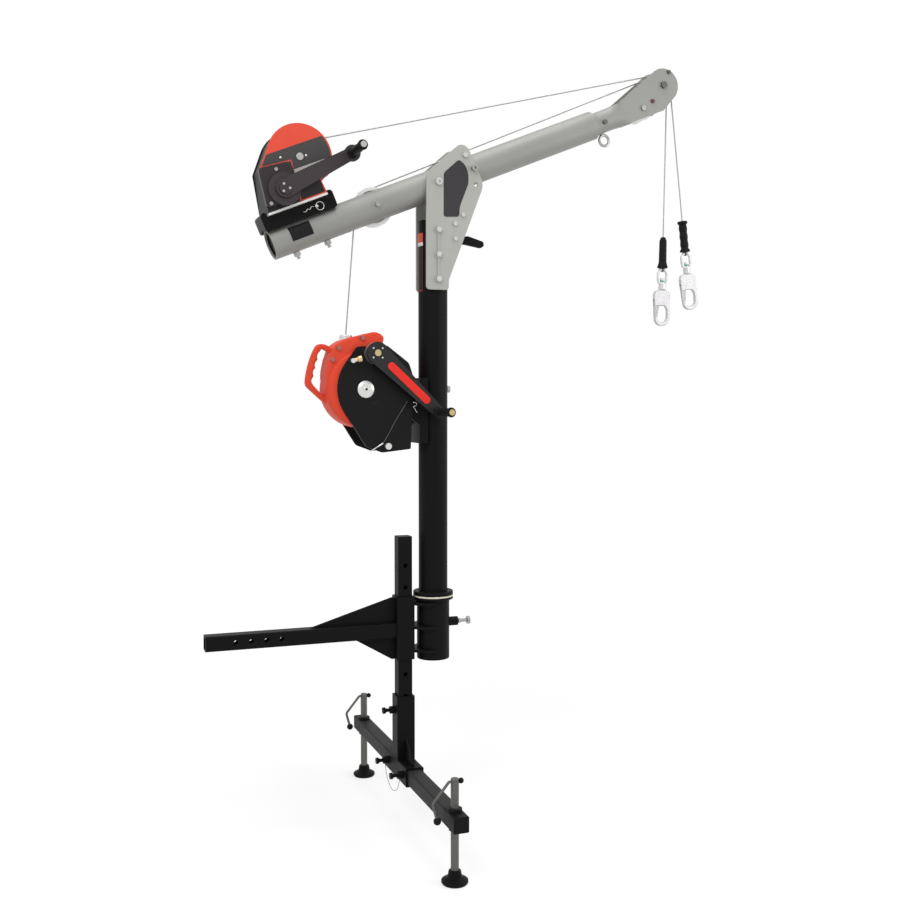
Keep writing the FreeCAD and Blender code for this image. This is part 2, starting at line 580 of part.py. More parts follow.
def jacks():
    """Jack screws with a bent handle through the top, and their foot pads."""
    foot = v.floor_z + v.pad_floor + v.pad_gap
    radius = v.jack_dia / 2
    level = v.jack_top - v.handle_drop
    path = bent([(v.handle_front, 0, level), (-v.handle_knee, 0, level, v.handle_bend),
                 (-v.handle_back, 0, level - v.handle_fall, 2 * v.handle_bend),
                 (-v.handle_tip, 0, level - v.handle_reach)])
    profile = [(0, foot), (radius - 4, foot), (radius, foot + 8), (radius, v.jack_top, 4), (0, v.jack_top)]
    wall = radius + v.pad_gap
    hub = v.pad_hub_dia / 2
    edge = v.pad_dia / 2
    floor = v.floor_z
    top = floor + v.pad_height
    base = floor + v.pad_floor
    shape = [(0, floor), (edge - 4, floor), (edge, floor + 5), (edge, floor + v.pad_rim, 3), (hub + 2, base + 3, 4),
             (hub - 2, top, 2), (wall, top), (wall, base + 8), (wall - 4, base), (0, base)]
    for side, sign in (("near", "-"), ("far", "")):
        y = f"{sign}({JACK_Y})"
        screw = turned("screw_" + side, profile, x=POST_X, y=y)
        handle = move(piped("handle_" + side, path, v.handle_dia), POST_X, y)
        bore = move(piped("handle_bore_" + side, path, v.handle_dia), POST_X, y)
        knob = ball("knob_" + side, "handle_ball", f"{POST_X} - handle_tip", y,
                    "jack_top - handle_drop - handle_reach")
        stop = ball("stop_" + side, "handle_stop", f"{POST_X} + handle_front", y, "jack_top - handle_drop")
        lever = join("lever_" + side, [handle, knob, stop])
        node("jack_screw_" + side, [cut("screw_cut_" + side, screw, [bore]), lever])
        node("foot_pad_" + side, [turned("pad_" + side, shape, x=POST_X, y=y)])


def spacer_places():
    """Spacer bolts of the hinge plates; the lowest carries the release lever."""
    return {"high": (v.spacer_high_x, v.spacer_high_z), "middle": (v.spacer_mid_x, v.spacer_mid_z),
            "low": (v.lever_x, v.lever_z)}


def plate_faces(sign, out="0"):
    """Ends along Y of a hinge plate, or of something raised on it."""
    if out == "0":
        return (f"-({PLATE_OUT})", f"-({PLATE_IN})") if sign else (PLATE_IN, PLATE_OUT)
    return (f"-({PLATE_OUT}) - {out}", f"-({PLATE_OUT})") if sign else (PLATE_OUT, f"{PLATE_OUT} + {out}")


# Mast and hinge

def mast_tube():
    """Round mast with its bearing flange, plunger groove and bolt holes."""
    outer = v.mast_od / 2
    inner = outer - v.mast_wall
    rim = v.flange_od / 2
    low = v.socket_top + v.flange_thick + v.bearing_thick
    top = low + v.mast_flange_thick
    groove = v.plunger_dia / 2 + 1
    deep = outer - v.groove_depth
    z = v.mast_plunger_z
    shape = [(inner, v.mast_bottom), (outer, v.mast_bottom), (outer, z - groove), (deep, z - groove),
             (deep, z + groove), (outer, z + groove), (outer, low), (rim, low, 2), (rim, top, 3), (outer, top),
             (outer, v.mast_top), (inner, v.mast_top)]
    holes = []
    for k in range(3):
        holes.append(rod(f"mast_hole_{k}", "y", "mast_bolt_dia", "-mast_od", "mast_od",
                         z=f"mast_bolt_top - {k} * mast_bolt_pitch"))
    holes.append(rod("mast_through", "x", "through_dia", "-mast_od", "mast_od", z="through_z"))
    node("mast_tube", [cut("mast_cut", turned("mast_shell", shape), holes)], "mast")


def lock_places():
    """Lock holes of the hinge plates, at the level, middle and high boom."""
    spots = []
    for k in range(3):
        angle = math.radians(k * v.luff_angle)
        spots.append((v.lock_radius * math.cos(angle), v.pivot_z + v.lock_radius * math.sin(angle)))
    return spots


def hinge_plates():
    """Pair of cheek plates bolted to the mast, with bosses, a ridge and pivot, lock and spacer holes."""
    corners = [(-v.plate_back, v.plate_low, 12), (-v.plate_back, v.plate_shoulder, 25), (v.crown_x, v.crown_z, 30),
               (v.plate_nose_x, v.plate_nose_z, 60), (v.plate_front, v.plate_waist, 20),
               (v.plate_front, v.plate_low, 12)]
    holes = [circle(0, v.pivot_z, v.pivot_dia)]
    for x, z in lock_places():
        holes.append(circle(x, z, v.lock_dia))
    for x, z in spacer_places().values():
        holes.append(circle(x, z, v.spacer_bolt_dia))
    made = []
    for side, sign in (("near", "-"), ("far", "")):
        plate = padded("cheek_" + side, "y", [rounded(corners)] + holes, *plate_faces(sign))
        raised = plate_faces(sign, "strip_thick")
        pieces = [plate, block("ridge_" + side, "-ridge_wide / 2", "ridge_wide / 2", *raised,
                               "mast_bolt_top - 2 * mast_bolt_pitch", "mast_bolt_top")]
        bores = []
        for k in range(3):
            z = f"mast_bolt_top - {k} * mast_bolt_pitch"
            pieces.append(rod(f"cheek_boss_{side}_{k}", "y", "boss_dia", *raised, z=z))
            bores.append(rod(f"cheek_bore_{side}_{k}", "y", "mast_bolt_dia", "-mast_od", "mast_od", z=z))
        made.append(cut("cheeks_" + side, join("cheek_body_" + side, pieces), bores))
    node("hinge_plates", made, "mast")


def hinge_bolts():
    """Pivot bolt, mast bolts, spacer bolts and the parked bolt in the high lock hole."""
    made = [through_bolt("pivot_bolt", "pivot_dia", 24, f"-({PLATE_OUT})", PLATE_OUT, 0, "pivot_z", 10, True)]
    for k in range(3):
        made.append(through_bolt(f"mast_bolt_{k}", "mast_bolt_dia", 20, f"-({PLATE_OUT}) - strip_thick",
                                 f"{PLATE_OUT} + strip_thick", 0, f"mast_bolt_top - {k} * mast_bolt_pitch"))
    for name, (x, z) in spacer_places().items():
        bolt = through_bolt("spacer_" + name, "spacer_bolt_dia", 16, f"-({PLATE_OUT})", PLATE_OUT, x, z, 6)
        inner = "lever_thick / 2 + lever_gap" if name == "low" else "0"
        sleeves = [rod("sleeve_near_" + name, "y", "spacer_dia", f"-({PLATE_IN})", f"-({inner})", x=x, z=z)]
        sleeves.append(rod("sleeve_far_" + name, "y", "spacer_dia", inner, PLATE_IN, x=x, z=z))
        made.append(join("spaced_" + name, [bolt] + sleeves))
    x, z = lock_places()[2]
    for side, sign in (("near", "-"), ("far", "")):
        stud = rod("high_stud_" + side, "y", "lock_dia", *plate_faces(sign), x=x, z=z)
        head = hexagon("high_head_" + side, "y", 19, *plate_faces(sign, "8"), x=x, z=z)
        made.append(join("high_" + side, [stud, head]))
    node("hinge_bolts", made, "mast")


def boom_lock_bolt():
    """Bolt that pins the boom at its angle, drawn back out of the boom."""
    x, z = lock_places()[1]
    shank = rod("lock_shank", "y", "lock_dia - 2 * pin_fit", f"-({PLATE_OUT}) - 12", f"-({PLATE_IN})",
                x=x, z=z)
    head = rod("lock_head", "y", 22, f"-({PLATE_OUT}) - 22", f"-({PLATE_OUT}) - 11", x=x, z=z)
    key = hexagon("lock_key", "y", 11, f"-({PLATE_OUT}) - 23", f"-({PLATE_OUT}) - 15", x=x, z=z)
    node("boom_lock_bolt", [cut("lock_cut", join("lock_body", [shank, head]), [key])], "mast")


def release_lever():
    """Lever between the hinge plates, on the lowest spacer."""
    x, z = spacer_places()["low"]
    eye = v.spacer_bolt_dia
    reach = v.lever_reach
    shape = rounded([(x - eye, z - eye, eye - 0.1), (x + 0.44 * reach, z - eye, 20),
                     (x + 0.91 * reach, z - 2 * eye, 10),
                     (x + reach, z - 1.2 * eye, 6), (x + 0.98 * reach, z + 0.3 * eye, 8),
                     (x + 0.52 * reach, z + 2 * eye, 25), (x + 6, z + eye, 20),
                     (x - eye, z + eye, eye - 0.1)])
    lever = padded("lever_body", "y", [shape, circle(x, z, v.spacer_bolt_dia + 2 * v.pin_fit)],
                   "-lever_thick / 2", "lever_thick / 2")
    node("release_lever", [lever], "mast")


# Boom

def boom_tube():
    """Round boom with a pivot hole, a lock hole and slots for the rear sheave."""
    outer = v.mast_od / 2
    shell = padded("boom_shell", "x", [circle(0, 0, v.mast_od), circle(0, 0, 2 * (outer - v.boom_wall))],
                   "-boom_tail", "boom_front")
    slot = "rear_width / 2 + rear_slot_gap"
    reach = "rear_pitch_r + rear_flange + rear_slot_gap"
    tools = [rod("boom_pivot", "y", "pivot_dia + 2 * pin_fit", "-mast_od", "mast_od"),
             rod("boom_lock", "y", "lock_dia + 0.4", "-mast_od", 0, x="lock_radius"),
             block("boom_slot", f"rear_s - ({reach}) - rear_slot_back", f"rear_s + {reach}",
                   f"line_y - ({slot})", f"line_y + {slot}", "-mast_od", "mast_od"),
             rod("boom_rear_axle", "y", "rear_axle", "-mast_od", "mast_od", x="rear_s")]
    for name in SADDLE_BOLTS:
        tools.append(rod("boom_hole_" + name, "z", "bracket_bolt_dia", "-mast_od", "mast_od", x="-" + name))
    node("boom_tube", [cut("boom_cut", shell, tools)], "boom")


def boom_plug():
    """Plastic plug, set back in the rear end of the boom."""
    body = rod("plug_body", "x", "mast_od - 2 * boom_wall", "-boom_tail + plug_recess",
               "-boom_tail + plug_recess + plug_thick")
    dish = rod("plug_dish", "x", "mast_od - 2 * boom_wall - 14", "-boom_tail + plug_recess - 1",
               "-boom_tail + plug_recess + 4")
    node("boom_plug", [cut("plug_cut", body, [dish])], "boom")


def head_outline():
    """Side plate of the head: a tapered tail on the nose and a round end about the axle."""
    middle = head_axle()
    tail = (v.head_tail_s, v.head_tail_n)
    foot = (v.head_foot_s, -v.head_foot_n)
    angle = over(tail, 0, middle, v.head_r)
    side = math.atan2(foot[1] - middle[1], foot[0] - middle[0])
    side += math.acos(v.head_r / math.dist(foot, middle))
    top = on_rim(middle, v.head_r, angle)
    low = on_rim(middle, v.head_r, side)
    front = on_rim(middle, v.head_r, (angle + side) / 2)
    corners = [top, tail, (v.head_heel_s, -v.head_foot_n), foot, low]
    return rounded(corners)[:-1] + [Part.Arc(V(*low), V(*front), V(*top))]


def head_bolt_places():
    return {"top": (v.top_bolt_s, v.top_bolt_n), "low": (v.low_bolt_s, v.low_bolt_n)}


def head_plate(name, sign):
    holes = [circle(v.axle_s, v.axle_n, v.axle_dia), circle(v.roller_s, v.roller_n, v.roller_axle)]
    for s, n in head_bolt_places().values():
        holes.append(circle(s, n, v.head_bolt_dia))
    faces = ("-head_half - head_thick", "-head_half") if sign else ("head_half", "head_half + head_thick")
    return padded(name, "y", [head_outline()] + holes, *faces)


def nose_and_head():
    """Nose tube let into the boom, and the head plates let into slots of the nose."""
    outer = v.nose_od / 2
    inner = outer - v.nose_wall
    fit = v.mast_od / 2 - v.boom_wall
    shape = [(inner, v.nose_start), (outer, v.nose_start), (outer, v.nose_start + 20), (fit, v.nose_start + 24),
             (fit, v.boom_front - v.nose_collar), (fit, v.boom_front + 6, 3), (outer, v.boom_front + 18, 6),
             (outer, v.nose_end), (inner, v.nose_end)]
    shell = turned("nose_shell", shape, "x")
    plates = [head_plate("head_near", "-"), head_plate("head_far", "")]
    slots = [padded("slot_near", "y", [head_outline()], "-head_half - head_thick", "-head_half"),
             padded("slot_far", "y", [head_outline()], "head_half", "head_half + head_thick")]
    screw = {"x": "nose_screw_s", "z": "nose_screw_n"}
    slots.append(rod("eye_hole", "z", "eye_shank_dia", "-nose_od", 0, x="eye_s"))
    slots.append(rod("nose_screw_hole", "y", "nose_screw_dia", "-nose_od", 0, **screw))
    slots.append(rod("nose_screw_flat", "y", "nose_screw_head", "-nose_od", "-nose_od / 2 + 0.5", **screw))
    node("nose_tube", [cut("nose_cut", shell, slots)], "boom")
    node("head_plates", plates, "boom")


def boom_bolts():
    """Axles, bolts and screws of the boom, head, winch bracket and gear cover."""
    low, high = "-head_half - head_thick", "head_half + head_thick"
    axle = [through_bolt("head_axle", "axle_dia", 26, low, high, "axle_s", "axle_n", 8)]
    face = "line_y + sheave_width / 2 + swivel_gap"
    axle.append(rod("axle_sleeve_near", "y", "axle_sleeve", "-head_half", f"-({face})",
                    x="axle_s", z="axle_n"))
    axle.append(rod("axle_sleeve_far", "y", "axle_sleeve", face, "head_half", x="axle_s", z="axle_n"))
    made = [join("head_axle_set", axle)]
    made.append(through_bolt("roller_bolt", "roller_axle", 20, low, high, "roller_s", "roller_n", 6))
    for name, (s, n) in head_bolt_places().items():
        made.append(through_bolt("head_bolt_" + name, "head_bolt_dia", 15, low, high, s, n, 5))
    made.append(through_bolt("rear_bolt", "rear_axle", 18, "-mast_od / 2", "mast_od / 2", "rear_s", 0, 8))
    screw = {"x": "nose_screw_s", "z": "nose_screw_n"}
    shank = rod("nose_shank", "y", "nose_screw_dia", "-nose_od / 2 - 1", "-nose_od / 2 + nose_wall", **screw)
    head = rod("nose_head", "y", "nose_screw_head", "-nose_od / 2 - 7", "-nose_od / 2 + 0.5", **screw)
    made.append(join("nose_screw", [shank, head]))
    top = "bracket_top + winch_base_thick"
    for name in SADDLE_BOLTS:
        spot = {"x": "-" + name}
        shank = rod(name + "_shank", "z", "bracket_bolt_dia", "-mast_od / 2 - 24", top, **spot)
        head = hexagon(name + "_head", "z", 22, top, f"{top} + 8", **spot)
        nut = hexagon(name + "_nut", "z", 24, "-mast_od / 2 - 14", "-mast_od / 2", **spot)
        made.append(join(name + "_set", [shank, head, nut]))
    for k, (s, n, proud) in enumerate(COVER_BOLTS):
        face = "-winch_half - winch_plate"
        made.append(rod(f"cover_bolt_{k}", "y", "cover_bolt_dia", f"{face} - cover_thick - {proud}", face,
                        x=f"crank_s + {s}", z=f"crank_n + {n}"))
    node("boom_bolts", made, "boom")


def eye_bolt():
    """Ring bolt under the nose."""
    ring = aim(doc.addObject("Part::Torus", "eye_ring"), "y")
    bind(ring, "Radius1", "eye_ring_r")
    bind(ring, "Radius2", "eye_wire / 2")
    move(ring, "eye_s", 0, "-nose_od / 2 - eye_ring_r - 7")
    collar = rod("eye_collar", "z", 20, "-nose_od / 2 - 5", "-nose_od / 2", x="eye_s")
    shank = rod("eye_shank", "z", "eye_shank_dia", "-nose_od / 2 - 6", "-nose_od / 2 + 12", x="eye_s")
    node("eye_bolt", [join("eye_body", [ring, collar, shank])], "boom")


def groove_wheel(name, pitch_r, rim_r, width, bore_dia, s, n, y):
    """Rope sheave along Y with a round-bottomed groove for the line."""
    floor_r = pitch_r - v.line_dia / 2 - v.line_gap
    half = width / 2
    mouth = v.line_dia * 0.9
    seat = v.line_dia / 2 + v.line_gap
    hub = bore_dia / 2 + 8
    web = half * 0.6
    shape = [(bore_dia / 2, -half), (hub, -half, 1), (hub + 3, -web, 2), (floor_r - 5, -web, 2),
             (floor_r - 2, -half, 1), (rim_r, -half, 1), (rim_r, -mouth, 0.6), (floor_r, -seat, 1),
             (floor_r, seat, 1), (rim_r, mouth, 0.6), (rim_r, half, 1), (floor_r - 2, half, 1),
             (floor_r - 5, web, 2), (hub + 3, web, 2), (hub, half, 1), (bore_dia / 2, half)]
    return turned(name, shape, "y", s, y, n)


def sheaves():
    bore = v.axle_dia + 2 * v.pin_fit
    rim = v.sheave_pitch_r + v.sheave_flange
    node("head_sheave_near", [groove_wheel("wheel_near", v.sheave_pitch_r, rim, v.sheave_width, bore,
                                           "axle_s", "axle_n", "-line_y")], "boom")
    node("head_sheave_far", [groove_wheel("wheel_far", v.sheave_pitch_r, rim, v.sheave_width, bore,
                                          "axle_s", "axle_n", "line_y")], "boom")
    node("rear_sheave", [groove_wheel("wheel_rear", v.rear_pitch_r, v.rear_pitch_r + v.rear_flange, v.rear_width,
                                      v.rear_axle + 2 * v.pin_fit, "rear_s", 0, "line_y")], "boom")
    inner = v.roller_axle / 2 + v.pin_fit
    half = v.head_half - v.side_gap
    edge = v.roller_dia / 2
    shape = [(inner, -half), (edge, -half, 2), (edge - 3, 0, 60), (edge, half, 2), (inner, half)]
    node("guide_roller", [turned("roller_body", shape, "y", "roller_s", 0, "roller_n")], "boom")


# Winch

def winch_bracket():
    """Saddle that carries the winch on the boom, lipped at both ends, and the winch's base plate."""
    top = v.bracket_top
    lip = top + v.lip_rise
    rear, front = -v.saddle_rear, -v.saddle_front
    shape = rounded([(rear, v.saddle_low, 8), (rear, lip, 12), (rear + v.lip_wide, lip, 6),
                     (rear + v.lip_wide + 2, top), (front - v.lip_wide - 2, top), (front - v.lip_wide, lip, 6),
                     (front, lip, 12), (front, v.saddle_low, 8)])
    solid = padded("saddle_solid", "y", [shape], "-bracket_half", "bracket_half")
    tools = [block("saddle_hollow", "-saddle_rear + saddle_end", "-saddle_front - saddle_end",
                   "-bracket_half + bracket_wall", "bracket_half - bracket_wall",
                   0, "bracket_top - bracket_wall"),
             rod("saddle_boom", "x", "mast_od", "-boom_tail - 50", 0)]
    base = block("base_plate", f"-({FOOT_REAR})", f"-({FOOT_FRONT})", "-winch_half - winch_plate",
                 "winch_half + winch_plate", "bracket_top", "bracket_top + winch_base_thick")
    holes = []
    for name in SADDLE_BOLTS:
        hole = (name + "_hole", "z", "bracket_bolt_dia", 0, "bracket_top + 2 * winch_base_thick")
        tools.append(rod(*hole, x="-" + name))
        holes.append(rod(*hole, x="-" + name))
    node("winch_bracket", [cut("saddle_cut", solid, tools)], "boom")
    node("winch_base", [cut("base_cut", base, holes)], "boom")


def winch_sides():
    """Side plates of the winch: a disc about the drum, drawn out to a splayed foot."""
    foot = v.bracket_top + v.winch_base_thick
    rear = -(v.saddle_rear - v.lip_wide - v.base_gap)
    front = -(v.saddle_front + v.lip_wide + v.base_gap)
    middle = (v.drum_s, v.drum_n)
    brow = (-v.brow_s, v.brow_n)
    angle = over(brow, 0, middle, v.disc_r)
    chin = math.radians(v.chin_angle)
    crown = on_rim(middle, v.disc_r, angle)
    jaw = on_rim(middle, v.disc_r, chin)
    face = on_rim(middle, v.disc_r, (angle + chin) / 2)
    corners = [crown, (*brow, 12), (rear, foot), (front, foot), (front - 4, v.neck_n, 4), jaw]
    outline = rounded(corners)[:-1] + [Part.Arc(V(*jaw), V(*face), V(*crown))]
    made = []
    for side, sign in (("near", "-"), ("far", "")):
        faces = ("winch_half", "winch_half + winch_plate")
        if sign:
            faces = ("-winch_half - winch_plate", "-winch_half")
        holes = [circle(*middle, v.drum_shaft + 2 * v.pin_fit)]
        if sign:
            holes.append(circle(v.crank_s, v.crank_n, v.crank_shaft + 2 * v.pin_fit))
        made.append(padded("side_" + side, "y", [outline] + holes, *faces))
    node("winch_sides", made, "boom")


def drum_guard():
    """Curved guard round the drum, open where the line leaves, with a wall down to the base behind."""
    middle = (v.drum_s, v.drum_n)
    ring = padded("guard_ring", "y",
                  [circle(*middle, 2 * v.guard_r), circle(*middle, 2 * (v.guard_r - v.guard_thick))],
                  "-winch_half", "winch_half")
    mouth = block("guard_mouth", "drum_s + 20", "drum_s + 2 * guard_r", "-winch_half + 15", "winch_half - 15",
                  "drum_n + 10", "drum_n + 75")
    thick = v.guard_thick - 1
    foot = v.bracket_top + v.winch_base_thick
    rear = -(v.saddle_rear - v.lip_wide - v.base_gap)
    brow = V(-v.brow_s + 4, v.brow_n - 2)
    angle = over((brow.x, brow.y), 0, middle, v.guard_r - 0.5)
    out = V(math.cos(angle), math.sin(angle))
    start = V(*middle) + out * (v.guard_r - 0.5)
    end = V(rear, foot)
    down = (end - brow).normalize()
    inward = V(-down.y, down.x)
    elbow = brow + (inward - out) * (thick / (1 - inward.dot(out)))
    corners = [start, brow, end, V(rear + thick / inward.x, foot), elbow, start - out * thick]
    wall = padded("guard_wall", "y", [rounded([(c.x, c.y) for c in corners])], "-winch_half", "winch_half")
    node("drum_guard", [cut("guard_cut", join("guard_body", [ring, wall]), [mouth])], "boom")


def gear_cover():
    """Cover over the gears on the near side, with holes for the crank's shaft and three screws."""
    s, n = v.crank_s, v.crank_n
    shape = rounded([(s - 55, n + 87, 12), (s - 76, n - 38, 12), (s + 40, n - 46, 12), (s + 57, n + 77, 26)])
    holes = [circle(s, n, v.crank_shaft + 2 * v.pin_fit)]
    for across, up, proud in COVER_BOLTS:
        holes.append(circle(s + across, n + up, v.cover_bolt_dia))
    cover = padded("cover_body", "y", [shape] + holes, "-winch_half - winch_plate - cover_thick",
                   "-winch_half - winch_plate")
    node("gear_cover", [cover], "boom")


def winch_drum():
    """Drum with its wound line as one round core, on a shaft through both side plates."""
    wrap = v.drum_wrap_r - v.line_dia / 2 - v.line_gap
    half = v.winch_half - 1.5
    end = v.winch_half + v.winch_plate + 3
    shaft = v.drum_shaft / 2
    rim = v.drum_flange_r
    shape = [(0, -end), (shaft, -end, 1), (shaft, -half), (rim, -half, 1), (rim, -half + 4, 1), (wrap, -half + 4),
             (wrap, half - 4), (rim, half - 4, 1), (rim, half, 1), (shaft, half), (shaft, end, 1), (0, end)]
    node("winch_drum", [turned("drum_body", shape, "y", "drum_s", 0, "drum_n")], "boom")


def arm_outline(start, end, start_w, end_w):
    """Flat arm between two points, tapered, with round ends."""
    along = (V(*end) - V(*start)).normalize()
    side = V(-along.y, along.x)
    a, b = V(*start), V(*end)
    half, tip = start_w / 2, end_w / 2
    points = [a + side * half, b + side * tip, b - side * tip, a - side * half]
    return [Part.LineSegment(points[0], points[1]), Part.Arc(points[1], b + along * tip, points[2]),
            Part.LineSegment(points[2], points[3]), Part.Arc(points[3], a - along * half, points[0])]


def hand_grip(label, length, dia, face, s, n, frame):
    """Turned grip along -Y on a fixed pin, waisted and flared at both ends."""
    bore = v.grip_pin / 2 + v.pin_fit
    wide = dia / 2
    shape = [(bore, 0), (wide + 3, 0, 2), (wide + 3, 5, 2), (wide - 2, 12, 6), (wide, length * 0.5, 80),
             (wide - 2, length - 16, 20), (wide + 2, length - 6, 4), (wide, length, 3), (bore, length)]
    body = turned(label + "_body", shape, "-y", s, f"({face}) - 0.4", n)
    node(label, [body], frame)


def winch_crank():
    """Crank of the winch: a ratchet disc, an arm with a riveted boss and the pin of its grip."""
    face = "-winch_half - winch_plate - cover_thick - 0.6"
    back = f"{face} - crank_hub_thick"
    front = f"{face} - crank_hub_thick - crank_arm_thick"
    hub = {"x": "crank_s", "z": "crank_n"}
    end = {"x": "crank_end_s", "z": "crank_end_n"}
    pieces = [rod("crank_hub", "y", "2 * crank_hub_r", back, face, **hub),
              rod("crank_shaft_rod", "y", "crank_shaft", f"{back} - 1", "-winch_half - 1", **hub),
              rod("crank_boss", "y", "crank_boss_dia", f"{front} - 6", f"{front} + 1", **hub),
              rod("crank_end", "y", "crank_end_dia", front, back, **end)]
    for k in range(3):
        angle = math.radians(95 + 120 * k)
        s, n = on_rim((v.crank_s, v.crank_n), v.crank_boss_dia * 0.34, angle)
        pieces.append(rod(f"crank_rivet_{k}", "y", 8, f"{front} - 8", f"{front} - 5", x=s, z=n))
    outline = arm_outline((v.crank_s, v.crank_n), (v.crank_end_s, v.crank_end_n), v.crank_root, v.crank_tip)
    pieces.append(padded("crank_arm", "y", [outline], front, back))
    tip = f"{front} - winch_grip_length"
    pieces.append(rod("crank_pin", "y", "grip_pin", f"{tip} - 3", f"{front} + 1", **end))
    pieces.append(rod("crank_pin_head", "y", 20, f"{tip} - 6", f"{tip} - 1", **end))
    node("winch_crank", [join("crank_body", pieces)], "boom")
    hand_grip("winch_grip", v.winch_grip_length, v.winch_grip_dia, front,
              "crank_end_s", "crank_end_n", "boom")


def finger_side(low, high):
    """Wavy inner side of the carry handle between two points: a bump between each two fingers."""
    along = V(*high) - V(*low)
    out = V(along.y, -along.x).normalize() * 5
    points = []
    for k, share in enumerate((0.25, 0.375, 0.5, 0.625, 0.75)):
        spot = V(*low) + along * share + (V(0, 0) if k % 2 else out)
        points.append((spot.x, spot.y, 7))
    return points


# Lifeline block

def lifeline_housing():
    """Cast housing of the lifeline block with its carry handle."""
    half = v.block_half
    rim = v.block_r
    drum = turned("housing_drum", [(0, -half), (rim - 8, -half, 6), (rim, -half + 14, 8), (rim, half - 14, 8),
                                   (rim - 8, half, 6), (0, half)], "y", "block_x", 0, "block_z")
    lug = [(-370, 985, 10), (-330, 1003, 10), (-219, 1032, 22), (-191, 1013, 18), (-197, 991), (-160, 890),
           (-263, 835), (-380, 878), (-384, 925, 10)]
    upper = padded("housing_top", "y", [rounded(lug)], "-block_half + 8", "block_half - 8")
    outer = rounded([(-345, 960), (-367, 968), (-403, 986, 12), (-423, 971, 14), (-455, 852, 14), (-400, 795, 12),
                     (-372, 800), (-330, 900)])
    low, high = (-433, 866), (-415, 947)
    gap = rounded([(-399, 970, 8), (-383, 950, 8), (-399, 850, 20), (-411, 829, 8), (*low, 8)]
                  + finger_side(low, high) + [(*high, 8)])
    handle = padded("housing_handle", "y", [outer, gap], "-handle_half", "handle_half")
    sink = rod("housing_outlet", "z", "2 * outlet_r", "outlet_z - outlet_sink", "outlet_z + 40",
               x="outlet_x", y="line_y")
    body = join("housing_body", [drum, upper, handle])
    node("lifeline_housing", [cut("housing_cut", body, [sink])], "mast")


def lifeline_plates():
    """Side plates of the lifeline block, which carry it on its bracket."""
    corners = [(-292, 977, 12), (-190, 985, 30), (-110, 925, 30), (-95, 880, 20), (-104, 632, 6), (-206, 621, 20),
               (-262, 642, 20), (-390, 841, 148)]
    made = []
    for side, sign in (("near", "-"), ("far", "")):
        holes = [circle(v.lug_pin_x, v.lug_pin_z, v.lug_pin_dia),
                 circle(v.detent_x, v.detent_z, v.detent_dia)]
        if sign:
            holes.append(circle(v.life_crank_x, v.life_crank_z, v.crank_shaft + 2 * v.pin_fit))
        faces = ("block_half", "block_half + block_plate")
        if sign:
            faces = ("-block_half - block_plate", "-block_half")
        made.append(padded("life_plate_" + side, "y", [rounded(corners)] + holes, *faces))
    node("lifeline_plates", made, "mast")


def lifeline_fittings():
    """Hub caps, bolts, line outlet and pull knob of the lifeline block."""
    face = v.block_half + v.block_plate
    near = "-block_half - block_plate"
    wide = v.hub_cap_r
    cap = [(0, 0), (wide, 0), (wide, 4, 2), (wide - 9, 8, 3), (9, 9, 1), (9, 12, 1), (3, 12), (3, 7), (0, 7)]
    made = [turned("hub_cap_near", cap, "-y", "block_x", -face, "block_z")]
    made.append(turned("hub_cap_far", cap, "y", "block_x", face, "block_z"))
    low, high = "-block_half + 8", "block_half - 8"
    for name, x, z in (("left", -373, 934), ("middle", -350.7, 972.6), ("top", -269, 1007.7)):
        made.append(hexagon("life_bolt_near_" + name, "y", 17, f"{low} - 7", low, x=x, z=z))
        made.append(hexagon("life_bolt_far_" + name, "y", 17, high, f"{high} + 7", x=x, z=z))
    inner = v.line_dia / 2 + 1
    deep = -v.outlet_sink
    outlet = [(inner, deep), (v.outlet_r, deep), (v.outlet_r, 0, 3), (inner + 4, 0, 3), (inner, -6)]
    made.append(turned("outlet_body", outlet, "z", "outlet_x", "line_y", "outlet_z"))
    post = rod("pull_post", "y", 16, f"{near} - 20", near, x=-310, z=930)
    knob = turned("pull_knob", [(0, 0), (7, 0), (7, 18), (11, 20, 2), (11, 34, 3), (0, 34)])
    lie = FreeCAD.Rotation(V(0, 0, 1), V(0.97, 0, 0.24))
    knob.Placement = FreeCAD.Placement(V(-312, -face - 12, 929.5), lie)
    made.append(join("pull_body", [post, knob]))
    spot = {"x": "detent_x", "z": "detent_z"}
    pin = rod("detent_pin", "y", "detent_dia", f"{near} - 10", "block_half + block_plate + 8", **spot)
    made.append(join("detent_body", [pin, rod("detent_head", "y", 22, f"{near} - 18", near, **spot)]))
    node("lifeline_fittings", made, "mast")


